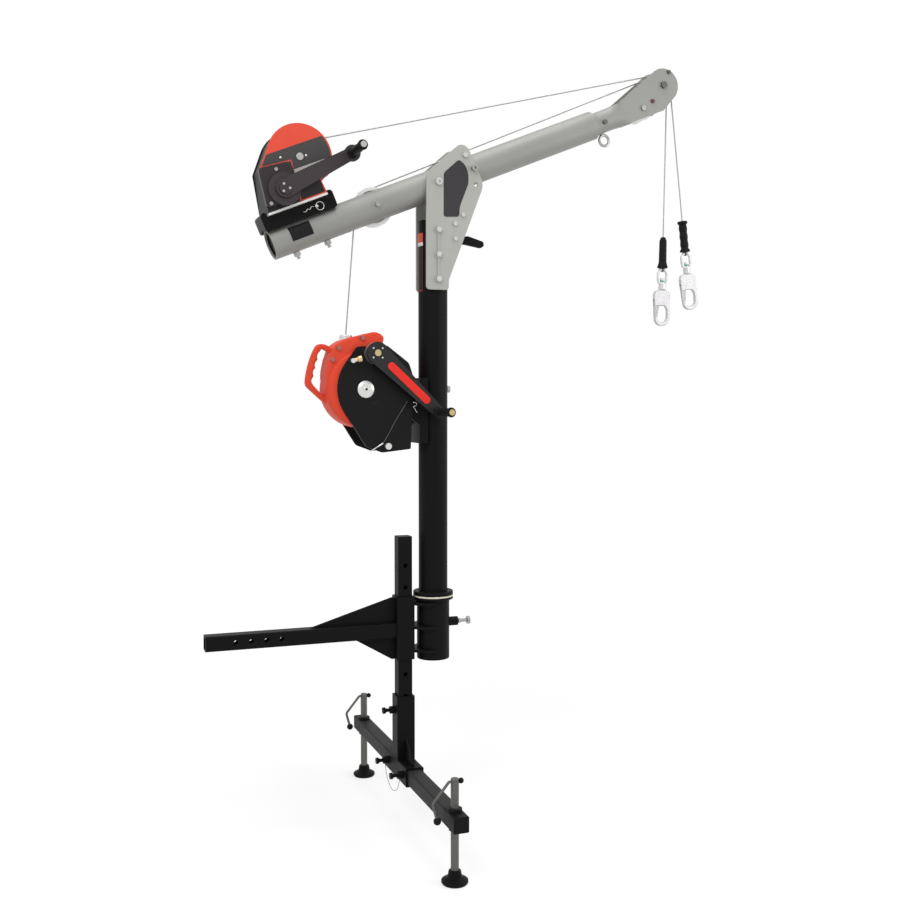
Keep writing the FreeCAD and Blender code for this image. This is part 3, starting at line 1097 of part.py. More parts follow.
def lifeline_bracket():
    """Saddle on the mast with two lugs, its through bolt and the pin of the block."""
    pieces = [block("saddle_block", "-bracket_out", "-mast_od / 2 + 16", "-lug_half", "lug_half",
                    "bracket_low", "bracket_high")]
    root = -v.bracket_out + 1
    edge = v.lug_pin_x - 15
    shape = rounded([(root, v.bracket_low + 60), (edge + 4, v.lug_pin_z - 26, 10), (edge, v.lug_pin_z, 8),
                     (edge + 4, v.lug_pin_z + 26, 10), (root, v.bracket_high - 12)])
    for side, sign in (("near", "-"), ("far", "")):
        faces = ("-lug_half", "-lug_half + lug_thick") if sign else ("lug_half - lug_thick", "lug_half")
        pieces.append(padded("lug_" + side, "y", [shape], *faces))
    tools = [rod("saddle_mast", "z", "mast_od", "bracket_low - 1", "bracket_high + 1"),
             rod("saddle_through", "x", "through_dia", "-bracket_out - 40", 0, z="through_z"),
             rod("saddle_pin", "y", "lug_pin_dia", "-lug_half - 1", "lug_half + 1",
                 x="lug_pin_x", z="lug_pin_z")]
    bolt = rod("through_shank", "x", "through_dia", "-bracket_out - 12", "mast_od / 2 + 2", z="through_z")
    nut = hexagon("through_nut", "x", 24, "-bracket_out - 10", "-bracket_out", z="through_z")
    head = rod("through_head", "x", 24, "mast_od / 2", "mast_od / 2 + 10", z="through_z")
    pin = through_bolt("life_pin", "lug_pin_dia", 24, "-block_half - block_plate", "block_half + block_plate",
                       "lug_pin_x", "lug_pin_z", 6)
    node("lifeline_bracket", [cut("bracket_cut", join("bracket_body", pieces), tools),
                              join("through_body", [bolt, nut, head]), pin], "mast")


def lifeline_crank():
    """Retrieval crank of the lifeline block, with a riveted hub, a strip and the pin of its grip."""
    face = "-block_half - block_plate - 0.6"
    back = f"{face} - life_hub_thick"
    front = f"{face} - life_hub_thick - life_arm_thick"
    hub = {"x": "life_crank_x", "z": "life_crank_z"}
    end = {"x": "life_end_x", "z": "life_end_z"}
    start, finish = V(v.life_crank_x, v.life_crank_z), V(v.life_end_x, v.life_end_z)
    pieces = [rod("life_hub", "y", "2 * life_hub_r", back, face, **hub),
              rod("life_shaft", "y", "crank_shaft", f"{back} - 1", "-block_half - 0.4", **hub),
              rod("life_hub_cap", "y", 22, f"{front} - 3", f"{front} + 1", **hub)]
    for k in range(4):
        x, z = on_rim((start.x, start.y), v.life_hub_r * 0.6, math.radians(45 + 90 * k))
        pieces.append(rod(f"life_rivet_{k}", "y", 6, f"{front} - 2", f"{front} + 1", x=x, z=z))
    outline = arm_outline((start.x, start.y), (finish.x, finish.y), 2 * v.life_hub_r, v.life_tip)
    pieces.append(padded("life_arm", "y", [outline], front, back))
    first, last = start + (finish - start) * 0.22, start + (finish - start) * 0.79
    band = arm_outline((first.x, first.y), (last.x, last.y), v.life_strip, v.life_strip)
    pieces.append(padded("life_strip", "y", [band], f"{front} - 2", f"{front} + 1"))
    tip = f"{front} - life_grip_length"
    pieces.append(rod("life_pin_rod", "y", "grip_pin", f"{tip} - 3", f"{front} + 1", **end))
    pieces.append(rod("life_pin_head", "y", 20, f"{tip} - 6", f"{tip} - 1", **end))
    node("lifeline_crank", [join("life_body", pieces)], "mast")
    hand_grip("lifeline_grip", v.life_grip_length, v.life_grip_dia, front, "life_end_x", "life_end_z", "mast")


def bow(middle, radius, first, last, y):
    """Arc of a line on a wheel's rim, from one angle to another, at one Y."""
    spots = [on_rim(middle, radius, a) for a in (first, (first + last) / 2, last)]
    return Part.Arc(*(V(x, y, z) for x, z in spots))


# Lines

def taut(start, wheels, end_angle, y):
    """Line from its start over round things, each (middle, radius), ending at an angle on the last one."""
    edges = []
    here, here_r = start
    angle = None
    for middle, radius in wheels:
        leave = over(here, here_r, middle, radius)
        if angle is not None:
            edges.append(bow(here, here_r, angle, leave, y))
        tail = on_rim(here, here_r, leave)
        meet = on_rim(middle, radius, leave)
        edges.append(Part.LineSegment(V(tail[0], y, tail[1]), V(meet[0], y, meet[1])))
        here, here_r, angle = middle, radius, leave
    edges.append(bow(here, here_r, angle, end_angle, y))
    return edges


def rise_angle():
    """Where on the rear sheave, in the mast's frame, the rising line meets it."""
    middle = to_mast(v.rear_s, 0)
    return over((v.outlet_x, v.outlet_z - 8), 0, middle, v.rear_pitch_r)


def lines():
    """The lines along the boom, the rise from the lifeline block and the two drops."""
    lean = math.radians(v.luff_angle)
    head = (head_axle(), v.sheave_pitch_r)
    winch_end = math.radians(v.winch_lean) - lean
    life_end = math.radians(v.life_lean) - lean
    winch = taut(((v.drum_s, v.drum_n), v.drum_wrap_r), [head], winch_end, -v.line_y)
    rear = (v.rear_s, 0.0)
    leave = over(rear, v.rear_pitch_r, *head)
    life = [bow(rear, v.rear_pitch_r, rise_angle() - lean, leave, v.line_y)]
    life += taut((rear, v.rear_pitch_r), [head], life_end, v.line_y)
    node("boom_lines", [piped("winch_line", winch, v.line_dia), piped("life_line", life, v.line_dia)], "boom")
    x, z = on_rim(to_mast(*rear), v.rear_pitch_r, rise_angle())
    rise = [Part.LineSegment(V(v.outlet_x, v.line_y, v.outlet_z - 8), V(x, v.line_y, z))]
    node("lifeline_rise", [piped("rise_line", rise, v.line_dia)], "mast")
    for which, drop in (("winch", "winch_drop"), ("life", "life_drop")):
        label = "winch_drop_line" if which == "winch" else "lifeline_drop_line"
        node(label, [rod(which + "_drop_rod", "z", "line_dia", 0, drop)], which)


# Hooks, each drawn in its own frame with the top of its grip at the origin

def hook_grip(label, which):
    """Rubber sleeve over the line's end: waved on the winch's hook, smooth on the lifeline's."""
    long = v.grip_length
    wide = v.hook_grip_dia / 2
    if which == "winch":
        profile = [(0, -long), (wide + 4, -long, 2), (wide + 4, -long + 8, 2), (wide - 1, -long + 14, 4)]
        step = (long - 28) / 3
        for k in range(3):
            z = -long + 14 + k * step
            profile.append((wide + 1.5, z + step * 0.5, 30))
            if k < 2:
                profile.append((wide - 1, z + step, 30))
        profile += [(wide - 1, -14, 4), (wide + 4, -9, 2), (wide + 4, -2, 2), (wide, 0), (0, 0)]
    else:
        profile = [(0, -long), (wide + 5, -long, 3), (wide + 5, -long + 6, 3), (wide, -long + 22, 14),
                   (wide - 1, -14, 8), (wide - 6, 0, 3), (0, 0)]
    node(label, [turned(label + "_body", profile)], which)


def hook_eye(label, which):
    """Oval ring under the grip, with a ball at its top, a stud at its foot and a swivel block."""
    wire = v.ring_wire / 2
    side = v.ring_width / 2 - wire
    top = -v.grip_length - wire
    low = -v.grip_length - v.ring_height + wire
    path = [Part.LineSegment(V(side, 0, top - side), V(side, 0, low + side)),
            Part.Arc(V(side, 0, low + side), V(0, 0, low), V(-side, 0, low + side)),
            Part.LineSegment(V(-side, 0, low + side), V(-side, 0, top - side)),
            Part.Arc(V(-side, 0, top - side), V(0, 0, top), V(side, 0, top - side))]
    ring = piped(label + "_ring", path, v.ring_wire)
    end = "-grip_length - ring_height"
    foot = f"{end} + ring_wire * 0.6"
    swivel = rod(label + "_swivel", "z", "swivel_dia", f"{end} - swivel_height", foot)
    stud = rod(label + "_stud", "z", "stud_dia", f"{foot} - 1", f"{end} + ring_wire + stud_rise")
    bead = ball(label + "_bead", "ring_wire * 1.3", 0, 0, "-grip_length - ring_wire * 0.8")
    bore = rod(label + "_bore", "z", "swivel_pin + 2 * pin_fit", f"{end} - swivel_height - 1", f"{end} - 3")
    node(label, [cut(label + "_cut", join(label + "_body", [ring, swivel, stud, bead]), [bore])], which)


def eased(name, plate, face, radius):
    """A flat piece with the edges of both its faces rounded; face is their distance from Y zero."""
    doc.recompute()
    picked = []
    for k, edge in enumerate(plate.Shape.Edges, 1):
        if all(abs(abs(corner.Y) - face) < 1e-4 for corner in edge.Vertexes):
            picked.append((k, radius, radius))
    made = doc.addObject("Part::Fillet", name)
    made.Base = plate
    made.Edges = picked
    return made


def snap(label, which):
    """Snap hook with a solid shoulder, a fork for its gate, and the gate."""
    top = -v.grip_length - v.ring_height - v.swivel_height - 0.3
    low = top - v.snap_height
    half = v.snap_width / 2
    limb = v.snap_limb
    solid = top - 60
    outer = rounded([(-half + 6, top - 5, 8), (-12, top, 6), (12, top, 6), (half - 3, top - 7, 10),
                     (half - 3, top - 62, 60), (half, low, 35), (-half + 8, low, 27), (-half + 4, top - 85, 80),
                     (-half, top - 20, 8)])
    inner = rounded([(-half + limb + 1, solid, 4), (12, solid, 8), (half - limb, solid - 14, 14),
                     (half - limb, low + limb, 19), (-half + limb, low + limb, 19),
                     (-half + limb, solid - 15, 12)])
    plate = padded(label + "_plate", "y", [outer, inner], "-snap_thick / 2", "snap_thick / 2")
    plate = eased(label + "_eased", plate, v.snap_thick / 2, v.snap_ease)
    gate_x = -half + limb / 2
    gate_top = top - 48
    gate_low = gate_top - v.gate_length
    gap = v.gate_gap
    fork = v.gate_thick / 2 + gap
    left = -half - 5
    open_side = block(label + "_open", left, -half + limb + 3, "-snap_thick", "snap_thick", gate_low, solid)
    slot = block(label + "_slot", left, 3, -fork, fork, solid - 4, gate_top + 12)
    body = cut(label + "_forked", plate, [open_side, slot])
    pin = rod(label + "_pin", "y", "gate_pin", "-snap_thick / 2", "snap_thick / 2", x=gate_x, z=gate_top)
    stem = rod(label + "_stem", "z", "swivel_pin", top - 1, top + v.swivel_height - 4)
    node(label + "_body", [join(label + "_joined", [body, pin, stem])], which)
    wide = limb / 2 - 1.5
    corners = [(gate_x - wide, gate_top), (-half + 5, gate_low + gap), (-half + limb + 2, gate_low + 2),
               (-half + limb + 9, gate_top - 10), (gate_x + wide, gate_top)]
    round_top = Part.Arc(V(*corners[-1]), V(gate_x, gate_top + wide), V(*corners[0]))
    gate = padded(label + "_leaf", "y", [rounded(corners)[:-1] + [round_top],
                                         circle(gate_x, gate_top, v.gate_pin + 2 * v.pin_fit)],
                  "-gate_thick / 2", "gate_thick / 2")
    node(label + "_gate", [gate], which)


def hooks():
    for which, word in (("winch", "winch"), ("life", "lifeline")):
        hook_grip(word + "_hook_grip", which)
        hook_eye(word + "_hook_eye", which)
        snap(word + "_snap", which)


def check_and_write():
    """Stops on any failed object, then writes one file for each piece."""
    doc.recompute()
    for thing in doc.Objects:
        if "Invalid" in thing.State or "Error" in thing.State:
            raise RuntimeError(thing.Name + " did not build: " + str(thing.State))
    os.makedirs("parts", exist_ok=True)
    for made in NODES:
        shape = made.Shape
        if shape.isNull() or not shape.isValid() or not shape.Solids:
            raise RuntimeError(made.Label + " is not a valid solid")
        if len(shape.Solids) == 1:
            shape = shape.Solids[0]
        shape.exportStep("parts/" + made.Label + ".step")
        print(made.Label, len(made.Shape.Solids), round(made.Shape.Volume / 1000, 1))


hitch_bar()
frame_plates()
post_box()
mast_socket()
bearing_ring()
plungers()
post_tube()
leg_frame()
crossbar()
jacks()
mast_tube()
hinge_plates()
hinge_bolts()
boom_lock_bolt()
release_lever()
boom_tube()
boom_plug()
nose_and_head()
boom_bolts()
eye_bolt()
sheaves()
winch_bracket()
winch_sides()
drum_guard()
gear_cover()
winch_drum()
winch_crank()
lifeline_housing()
lifeline_plates()
lifeline_fittings()
lifeline_bracket()
lifeline_crank()
lines()
hooks()
check_and_write()
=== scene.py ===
"""Davit crane: ropes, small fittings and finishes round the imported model."""
import math

import bmesh
import bpy
import numpy as np
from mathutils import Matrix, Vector


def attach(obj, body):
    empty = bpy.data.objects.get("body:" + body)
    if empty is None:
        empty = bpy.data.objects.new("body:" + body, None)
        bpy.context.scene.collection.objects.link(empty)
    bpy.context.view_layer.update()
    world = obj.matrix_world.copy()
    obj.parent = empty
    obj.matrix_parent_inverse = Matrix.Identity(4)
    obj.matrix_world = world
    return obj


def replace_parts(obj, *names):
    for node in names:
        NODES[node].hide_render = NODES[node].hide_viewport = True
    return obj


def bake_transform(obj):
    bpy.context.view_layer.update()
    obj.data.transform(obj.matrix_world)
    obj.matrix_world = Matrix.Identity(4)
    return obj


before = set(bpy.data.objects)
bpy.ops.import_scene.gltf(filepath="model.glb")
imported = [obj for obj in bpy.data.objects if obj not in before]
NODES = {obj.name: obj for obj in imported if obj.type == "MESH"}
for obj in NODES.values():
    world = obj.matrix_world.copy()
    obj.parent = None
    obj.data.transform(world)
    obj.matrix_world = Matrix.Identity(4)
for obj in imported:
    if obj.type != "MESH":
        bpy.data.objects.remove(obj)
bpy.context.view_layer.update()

bl_info = {
    "name": "Davit crane dressing",
    "version": (1, 0, 0),
    "blender": (4, 5, 0),
    "location": "View3D > Sidebar > Davit",
    "description": "Wire ropes, fittings and finishes for a hitch-mounted davit crane",
    "category": "Object",
}

# Places repeated from the model, in metres. A pair is along and across in the boom's axes, or out from
# the mast's axis and up. A name with FACE, HALF or SIDE is a distance from the middle plane.

MAST_X = 0.695
PIVOT_Z = 1.545
LUFF = math.radians(22.5)
TUBE_R = 0.0508
FLOOR_Z = -0.689
HINGE_FACE = 0.0593
NEARWARD = (0.0, -1.0, 0.0)

ROPE = 0.0048
ROPE_SIDE = {"winch": -0.012, "life": 0.012}
LEAN = {"winch": math.radians(6.7), "life": math.radians(-1.0)}
DROP = {"winch": 0.497, "life": 0.548}
OUTLET = (-0.3105, 1.012)
REAR_SHEAVE = (-0.232, 0.0)
REAR_PITCH = 0.060
THIN_WIRE = 0.0018
PANEL_THICK = 0.0012

HEAD_AXLE = (0.9795, 0.0441)
HEAD_PITCH = 0.045
HEAD_FACE = 0.045
HEAD_PLATE = 0.0412
HEAD_TAIL = (0.781, 0.042)
HEAD_HEEL = (0.798, -0.041)
NOSE_R = 0.0401
FAIRING_LONG = 0.060
FAIRING_REACH = math.radians(83)

DRUM = (-0.429, 0.227)
DRUM_WRAP = 0.0544
DRUM_HALF = 0.0645
DRUM_CORE = 0.0522
DRUM_TURNS = 26
SADDLE_SIDE = 0.052
WINCH_FACE = 0.074
WINCH_CRANK = (-0.5235, 0.1454)
WINCH_BOSS_R = 0.02
WINCH_RIVET_FACE = 0.1197
WINCH_PIN_FACE = 0.2442

DISC_R = 0.108
DISC_BROW = (-0.566, 0.236)
DISC_CAP = 0.267
DISC_BAND = 0.195
DISC_STRIPE = 0.172
STRIPE_ENDS = (-0.470, -0.352)
DISC_NECK = 0.139
NECK_FRONT = -0.3935
DISC_FOOT = 0.0965
FOOT_BACK = -0.476
COVER_EDGE = (-0.484, 0.099)
COVER_SLOPE = 0.146
COVER_TOP = 0.222
BROW_EDGE = (0.2324, -0.5785)
BROW_SLOPE = -0.0893
BROW_FRONT = -0.460

BLOCK_HUB = (-0.263, 0.835)
BLOCK_R = 0.131
BLOCK_HALF = 0.062
BLOCK_FACE = 0.070
BLOCK_BOLTS = ((-0.373, 0.934), (-0.3507, 0.9726), (-0.269, 1.0077))
BOLT_FACE = 0.0575
BOLT_R = 0.0115
CROWN_HALF = 0.054
HANDLE_HALF = 0.017
PULL_KNOB = (-0.287, 0.936)
KNOB_FACE = 0.082
KNOB_R = 0.016
HUB_EYE_R = 0.0042
LIFE_CRANK = (-0.231, 0.956)
LIFE_RAISED_FACE = 0.1087
LIFE_STRIP_FACE = 0.1108
LIFE_PIN_FACE = 0.2335
LIFE_BACK_FACE = 0.0965
LIFE_HUB_R = 0.038
LIFE_CAP_R = 0.0115

JACK_X = 0.585
JACK_Y = 0.520
JACK_BLACK = 0.032
JACK_KNOB = (-0.057, -0.488)
JACK_KNOB_R = 0.0128
JACK_STOP = (0.020, -0.370)
JACK_STOP_R = 0.0096
LOCK_X = 0.543
BEAD_DOWN = 0.124
BEAD_R = 0.0071
STUD_BAND = (-0.168, -0.162)
STUD_R = 0.0084
SLACK = 0.0005


def boom_points(s, n, y):
    """Points given along and across the boom, and sideways, as whole arrays in the shared frame."""
    return np.stack([MAST_X + s * math.cos(LUFF) - n * math.sin(LUFF), y,
                     PIVOT_Z + s * math.sin(LUFF) + n * math.cos(LUFF)], -1)


def boom_point(s, n, y=0.0):
    """One point given along and across the boom."""
    return Vector(boom_points(s, n, y))


def mast_point(x, z, y=0.0):
    """One point given out from the mast's axis and up."""
    return Vector((MAST_X + x, y, z))


# Sizes and colours that a user would change

def length(name, description, default):
    """A length in metres."""
    return bpy.props.FloatProperty(name=name, description=description, default=default, unit="LENGTH")


def paint(name, description, default):
    """A colour."""
    return bpy.props.FloatVectorProperty(name=name, description=description, default=default, subtype="COLOR")


class DavitSizes(bpy.types.PropertyGroup):
    """Sizes of the ropes and threads"""
    strands: bpy.props.IntProperty(
        name="Rope strands", description="Outer strands of the wire ropes", default=6, min=3, max=12)
    lay: length("Rope lay", "Length of one turn of a strand", 0.034)
    thread_pitch: length("Jack thread pitch", "Pitch of the jack screws' thread", 0.004)


class DavitColours(bpy.types.PropertyGroup):
    """Colours of the finishes"""
    coat: paint("Black coat", "Powder coat of mast, hitch and leg", (0.005, 0.005, 0.0053))
    bar: paint("Crossbar grey", "Coat of the crossbar", (0.022, 0.021, 0.021))
    boom: paint("Boom grey", "Satin paint of boom, hinge and head", (0.285, 0.285, 0.268))
    red: paint("Red-orange", "Paint of the lifeline block and winch disc", (0.74, 0.075, 0.04))
    steel: paint("Plated steel", "Bolts, plungers and hooks", (0.36, 0.36, 0.35))
    cream: paint("Bearing ring", "Plastic of the mast's bearing ring", (0.76, 0.70, 0.56))
    nylon: paint("Nylon", "Sheaves and roller", (0.80, 0.80, 0.78))


def sizes():
    """The scene's sizes."""
    return bpy.context.scene.davit_sizes


def colours():
    """The scene's colours."""
    return bpy.context.scene.davit_colours


# Shader building

class Value:
    """A number in a node tree that takes plain signs: of masks, & is both, | is either and ~ is not."""

    def __init__(self, tree, socket):
        self.tree = tree
        self.socket = socket

    def math(self, operation, *others):
        return self.tree.math(operation, self, *others)

    def __add__(self, other):
        return self.math("ADD", other)

    def __sub__(self, other):
        return self.math("SUBTRACT", other)

    def __mul__(self, other):
        return self.math("MULTIPLY", other)

    def __gt__(self, limit):
        return self.math("GREATER_THAN", limit)

    def __lt__(self, limit):
        return self.math("LESS_THAN", limit)

    def __and__(self, other):
        return self.math("MULTIPLY", other)

    def __or__(self, other):
        return self.math("MAXIMUM", other)

    def __invert__(self):
        return self.tree.math("SUBTRACT", 1.0, self)

    def between(self, low, high):
        return (self > low) & (self < high)


def away(first, second):
    """Square root of the sum of two squares."""
    return (first * first + second * second).math("SQRT")


class Tree:
    """A thin hand on an emptied node tree: adds nodes, sets inputs and links sockets."""

    def __init__(self, tree):
        self.tree = tree
        tree.nodes.clear()

    def add(self, kind, inputs=None, **settings):
        made = self.tree.nodes.new(kind)
        for key, value in settings.items():
            setattr(made, key, value)
        for key, value in (inputs or {}).items():
            self.put(made.inputs[key], value)
        return made

    def put(self, socket, value):
        if isinstance(value, Value):
            value = value.socket
        if isinstance(value, bpy.types.NodeSocket):
            self.tree.links.new(value, socket)
        else:
            socket.default_value = value

    def math(self, operation, *values):
        made = self.add("ShaderNodeMath", operation=operation)
        for socket, value in zip(made.inputs, values):
            self.put(socket, value)
        return Value(self, made.outputs[0])

    def mix(self, factor, first, second, blend="MIX"):
        made = self.add("ShaderNodeMix", {"Factor": factor, "A": first, "B": second},
                        data_type="RGBA", blend_type=blend)
        return made.outputs["Result"]


def solid(colour):
    """A plain colour with full alpha."""
    return (*colour, 1.0)


def new_group(name, inputs, outputs):
    """An empty node group with its sockets, and the nodes at its two ends."""
    group = bpy.data.node_groups.new(name, "ShaderNodeTree")
    tree = Tree(group)
    for label, kind, default in inputs:
        socket = group.interface.new_socket(label, in_out="INPUT", socket_type="NodeSocket" + kind)
        if default is not None:
            socket.default_value = default
    for label in outputs:
        group.interface.new_socket(label, in_out="OUTPUT", socket_type="NodeSocketFloat")
    return group, tree, tree.add("NodeGroupInput").outputs, tree.add("NodeGroupOutput").inputs


def grain_group():
    """Two noises: a cloudy shade about one, and a fine grain height."""
    group = bpy.data.node_groups.get("coat_grain")
    if group:
        return group
    group, tree, come, go = new_group(
        "coat_grain",
        [("Vector", "Vector", None), ("Cloud Scale", "Float", 6.0), ("Grain Scale", "Float", 700.0),
         ("Cloud Depth", "Float", 0.2)],
        ["Shade", "Grain"])
    cloud = tree.add("ShaderNodeTexNoise", {"Vector": come["Vector"], "Scale": come["Cloud Scale"],
                                            "Detail": 4.0, "Roughness": 0.6})
    grain = tree.add("ShaderNodeTexNoise", {"Vector": come["Vector"], "Scale": come["Grain Scale"],
                                            "Detail": 2.0, "Roughness": 0.5})
    centred = tree.math("SUBTRACT", cloud.outputs["Fac"], 0.5)
    tree.put(go["Shade"], tree.math("MULTIPLY_ADD", centred, come["Cloud Depth"], 1.0))
    tree.put(go["Grain"], grain.outputs["Fac"])
    return group


def scuff_group():
    """Long scratches: noise stretched along one axis and cut to thin lines."""
    group = bpy.data.node_groups.get("drawn_scuffs")
    if group:
        return group
    group, tree, come, go = new_group(
        "drawn_scuffs",
        [("Vector", "Vector", None), ("Stretch", "Vector", (4.0, 160.0, 160.0)),
         ("Turn", "Vector", (0.0, 0.0, 0.0))],
        ["Lines", "Marks"])
    turned = tree.add("ShaderNodeMapping", {"Vector": come["Vector"], "Rotation": come["Turn"]})
    pulled = tree.add("ShaderNodeVectorMath", {0: turned.outputs["Vector"], 1: come["Stretch"]},
                      operation="MULTIPLY")
    noise = tree.add("ShaderNodeTexNoise", {"Vector": pulled.outputs["Vector"], "Scale": 1.0,
                                            "Detail": 5.0, "Roughness": 0.65})
    marks = tree.add("ShaderNodeMapRange", {"Value": noise.outputs["Fac"], "From Min": 0.66,
                                            "From Max": 0.70})
    tree.put(go["Lines"], noise.outputs["Fac"])
    tree.put(go["Marks"], marks.outputs["Result"])
    return group


def zone_group():
    """Mask of a ball: one inside the radius round a middle, nought outside."""
    group = bpy.data.node_groups.get("round_zone")
    if group:
        return group
    group, tree, come, go = new_group(
        "round_zone",
        [("Vector", "Vector", None), ("Middle", "Vector", (0.0, 0.0, 0.0)), ("Radius", "Float", 0.01)],
        ["Mask"])
    far = tree.add("ShaderNodeVectorMath", {0: come["Vector"], 1: come["Middle"]}, operation="DISTANCE")
    tree.put(go["Mask"], tree.math("LESS_THAN", far.outputs["Value"], come["Radius"]))
    return group


class Finish(Tree):
    """A Principled material on Object coordinates with cloudy shade and grain ready for use."""

    def __init__(self, name, clouds, grain, depth, specular=0.5, metallic=0.0):
        self.material = bpy.data.materials.new(name)
        self.material.use_nodes = True
        super().__init__(self.material.node_tree)
        self.shader = self.add("ShaderNodeBsdfPrincipled", {"Metallic": metallic,
                                                            "Specular IOR Level": specular})
        self.add("ShaderNodeOutputMaterial", {"Surface": self.shader.outputs["BSDF"]})
        self.place = self.add("ShaderNodeTexCoord").outputs["Object"]
        self.grain = self.effect(grain_group(), {"Cloud Scale": clouds, "Grain Scale": grain,
                                                 "Cloud Depth": depth})

    def effect(self, group, inputs):
        """Outputs of a shared effect on this material's coordinates."""
        return self.add("ShaderNodeGroup", {"Vector": self.place, **inputs}, node_tree=group).outputs

    def scuffs(self, stretch, turn=(0.0, 0.0, 0.0)):
        return self.effect(scuff_group(), {"Stretch": stretch, "Turn": turn})

    def zone(self, middle, radius):
        return Value(self, self.effect(zone_group(), {"Middle": middle, "Radius": radius})["Mask"])

    def shaded(self, colour):
        """A colour times the cloudy shade; a solid one stays as it is."""
        if len(colour) == 4:
            return colour
        shade = self.add("ShaderNodeCombineColor")
        for channel in shade.inputs:
            self.put(channel, self.grain["Shade"])
        return self.mix(1.0, solid(colour), shade.outputs["Color"], "MULTIPLY")

    def colour(self, base, *layers):
        """Base colour under layers of a mask and a colour, each over the one before."""
        face = self.shaded(base)
        for mask, layer in layers:
            face = self.mix(mask, face, self.shaded(layer))
        self.put(self.shader.inputs["Base Color"], face)
        return self

    def rough(self, low, high, by=None):
        spread = self.add("ShaderNodeMapRange", {"Value": by or self.grain["Grain"], "From Min": 0.3,
                                                 "From Max": 0.7, "To Min": low, "To Max": high})
        self.put(self.shader.inputs["Roughness"], spread.outputs["Result"])
        return self

    def bump(self, distance, strength, height=None):
        made = self.add("ShaderNodeBump", {"Height": height or self.grain["Grain"],
                                           "Distance": distance, "Strength": strength})
        self.put(self.shader.inputs["Normal"], made.outputs["Normal"])
        return self

    def metal_where(self, mask, value=0.9):
        """Metal only where a mask is one."""
        self.put(self.shader.inputs["Metallic"], self.math("MULTIPLY", mask, value))
        return self

    def axes(self, origin, turn=0.0):
        """Distances from an origin along axes turned about Y."""
        shifted = self.add("ShaderNodeVectorMath", {0: self.place, 1: tuple(origin)}, operation="SUBTRACT")
        turned = self.add("ShaderNodeMapping", {"Vector": shifted.outputs["Vector"],
                                                "Rotation": (0.0, turn, 0.0)})
        made = self.add("ShaderNodeSeparateXYZ", {"Vector": turned.outputs["Vector"]})
        return [Value(self, socket) for socket in made.outputs]


def powder_coat(name, colour, low=0.42, high=0.56, specular=0.08):
    """Textured powder coat: fine orange peel, cloudy shade and pale rub marks."""
    finish = Finish(name, clouds=5.0, grain=900.0, depth=0.35, specular=specular)
    faint = finish.math("MULTIPLY", finish.scuffs((7.0, 90.0, 14.0))["Marks"], 0.25)
    pale = solid([min(1.0, c * 2.2 + 0.01) for c in colour])
    return finish.colour(colour, (faint, pale)).rough(low, high).bump(0.00015, 0.35)


def satin_paint(name, colour, turn, low=0.42, high=0.58, metallic=0.15):
    """Satin metallic paint: faint draw lines along the piece, cloudy shade and small dark marks."""
    finish = Finish(name, clouds=7.0, grain=420.0, depth=0.16, specular=0.4, metallic=metallic)
    scuffs = finish.scuffs((3.0, 220.0, 220.0), turn)
    faint = finish.math("MULTIPLY", scuffs["Marks"], 0.3)
    finish.colour(colour, (faint, solid([c * 0.72 for c in colour])))
    return finish.rough(low, high, scuffs["Lines"]).bump(0.0001, 0.1, scuffs["Lines"])


def plated(name, colour, low=0.22, high=0.38, metallic=0.95):
    """Plated steel with a slight mottle."""
    finish = Finish(name, clouds=40.0, grain=900.0, depth=0.3, metallic=metallic)
    return finish.colour(colour).rough(low, high).bump(0.00006, 0.2)


def moulded(name, colour, low=0.38, high=0.55, grain=500.0, specular=0.35):
    """Moulded plastic or rubber with a fine spark texture."""
    finish = Finish(name, clouds=12.0, grain=grain, depth=0.18, specular=specular)
    return finish.colour(colour).rough(low, high).bump(0.0001, 0.25)


def dress(finish, *names):
    """Puts one finish on CAD nodes or pieces."""
    for name in names:
        thing = NODES.get(name) or bpy.data.objects[name]
        thing.data.materials.clear()
        thing.data.materials.append(finish.material)


# Mesh building

def put_in_scene(name, data):
    """A new object of this name at the origin."""
    made = bpy.data.objects.new(name, data)
    bpy.context.scene.collection.objects.link(made)
    return made


def lay_mesh(name, points, faces, smooth=True):
    """A mesh of points and faces, smooth or flat all over."""
    mesh = bpy.data.meshes.new(name)
    mesh.from_pydata(points, [], faces)
    mesh.polygons.foreach_set("use_smooth", np.full(len(mesh.polygons), smooth))
    mesh.update()
    return put_in_scene(name, mesh)


def closed_surface(name, grid, smooth=True, ring=False):
    """Rows of points, each row closed on itself, as one closed mesh: quads join neighbouring rows, the
    first and last row are joined in a ring or else get a face each, and faces are turned outwards."""
    rows, around = grid.shape[:2]
    i, j = np.meshgrid(np.arange(rows if ring else rows - 1), np.arange(around), indexing="ij")
    near, k = (i + 1) % rows, (j + 1) % around
    quads = np.stack([i * around + j, i * around + k, near * around + k, near * around + j], -1)
    faces = quads.reshape(-1, 4).tolist()
    if not ring:
        ends = np.arange(rows * around).reshape(rows, around)
        faces += [ends[0, ::-1].tolist(), ends[-1].tolist()]
    made = lay_mesh(name, grid.reshape(-1, 3).tolist(), faces, smooth)
    work = bmesh.new()
    work.from_mesh(made.data)
    bmesh.ops.recalc_face_normals(work, faces=work.faces)
    work.to_mesh(made.data)
    work.free()
    return made


def joined(name, pieces):
    """Several like meshes as one piece."""
    work = bmesh.new()
    for piece in pieces:
        mesh = piece.data
        work.from_mesh(mesh)
        bpy.data.objects.remove(piece)
        bpy.data.meshes.remove(mesh)
    mesh = bpy.data.meshes.new(name)
    work.to_mesh(mesh)
    work.free()
    return put_in_scene(name, mesh)


def full_turn(count):
    """Even angles of one full turn."""
    return np.linspace(0, 2 * np.pi, count, endpoint=False)


def unit(rows):
    """Directions, one in each row, at length one."""
    return rows / np.linalg.norm(rows, axis=1)[:, None]


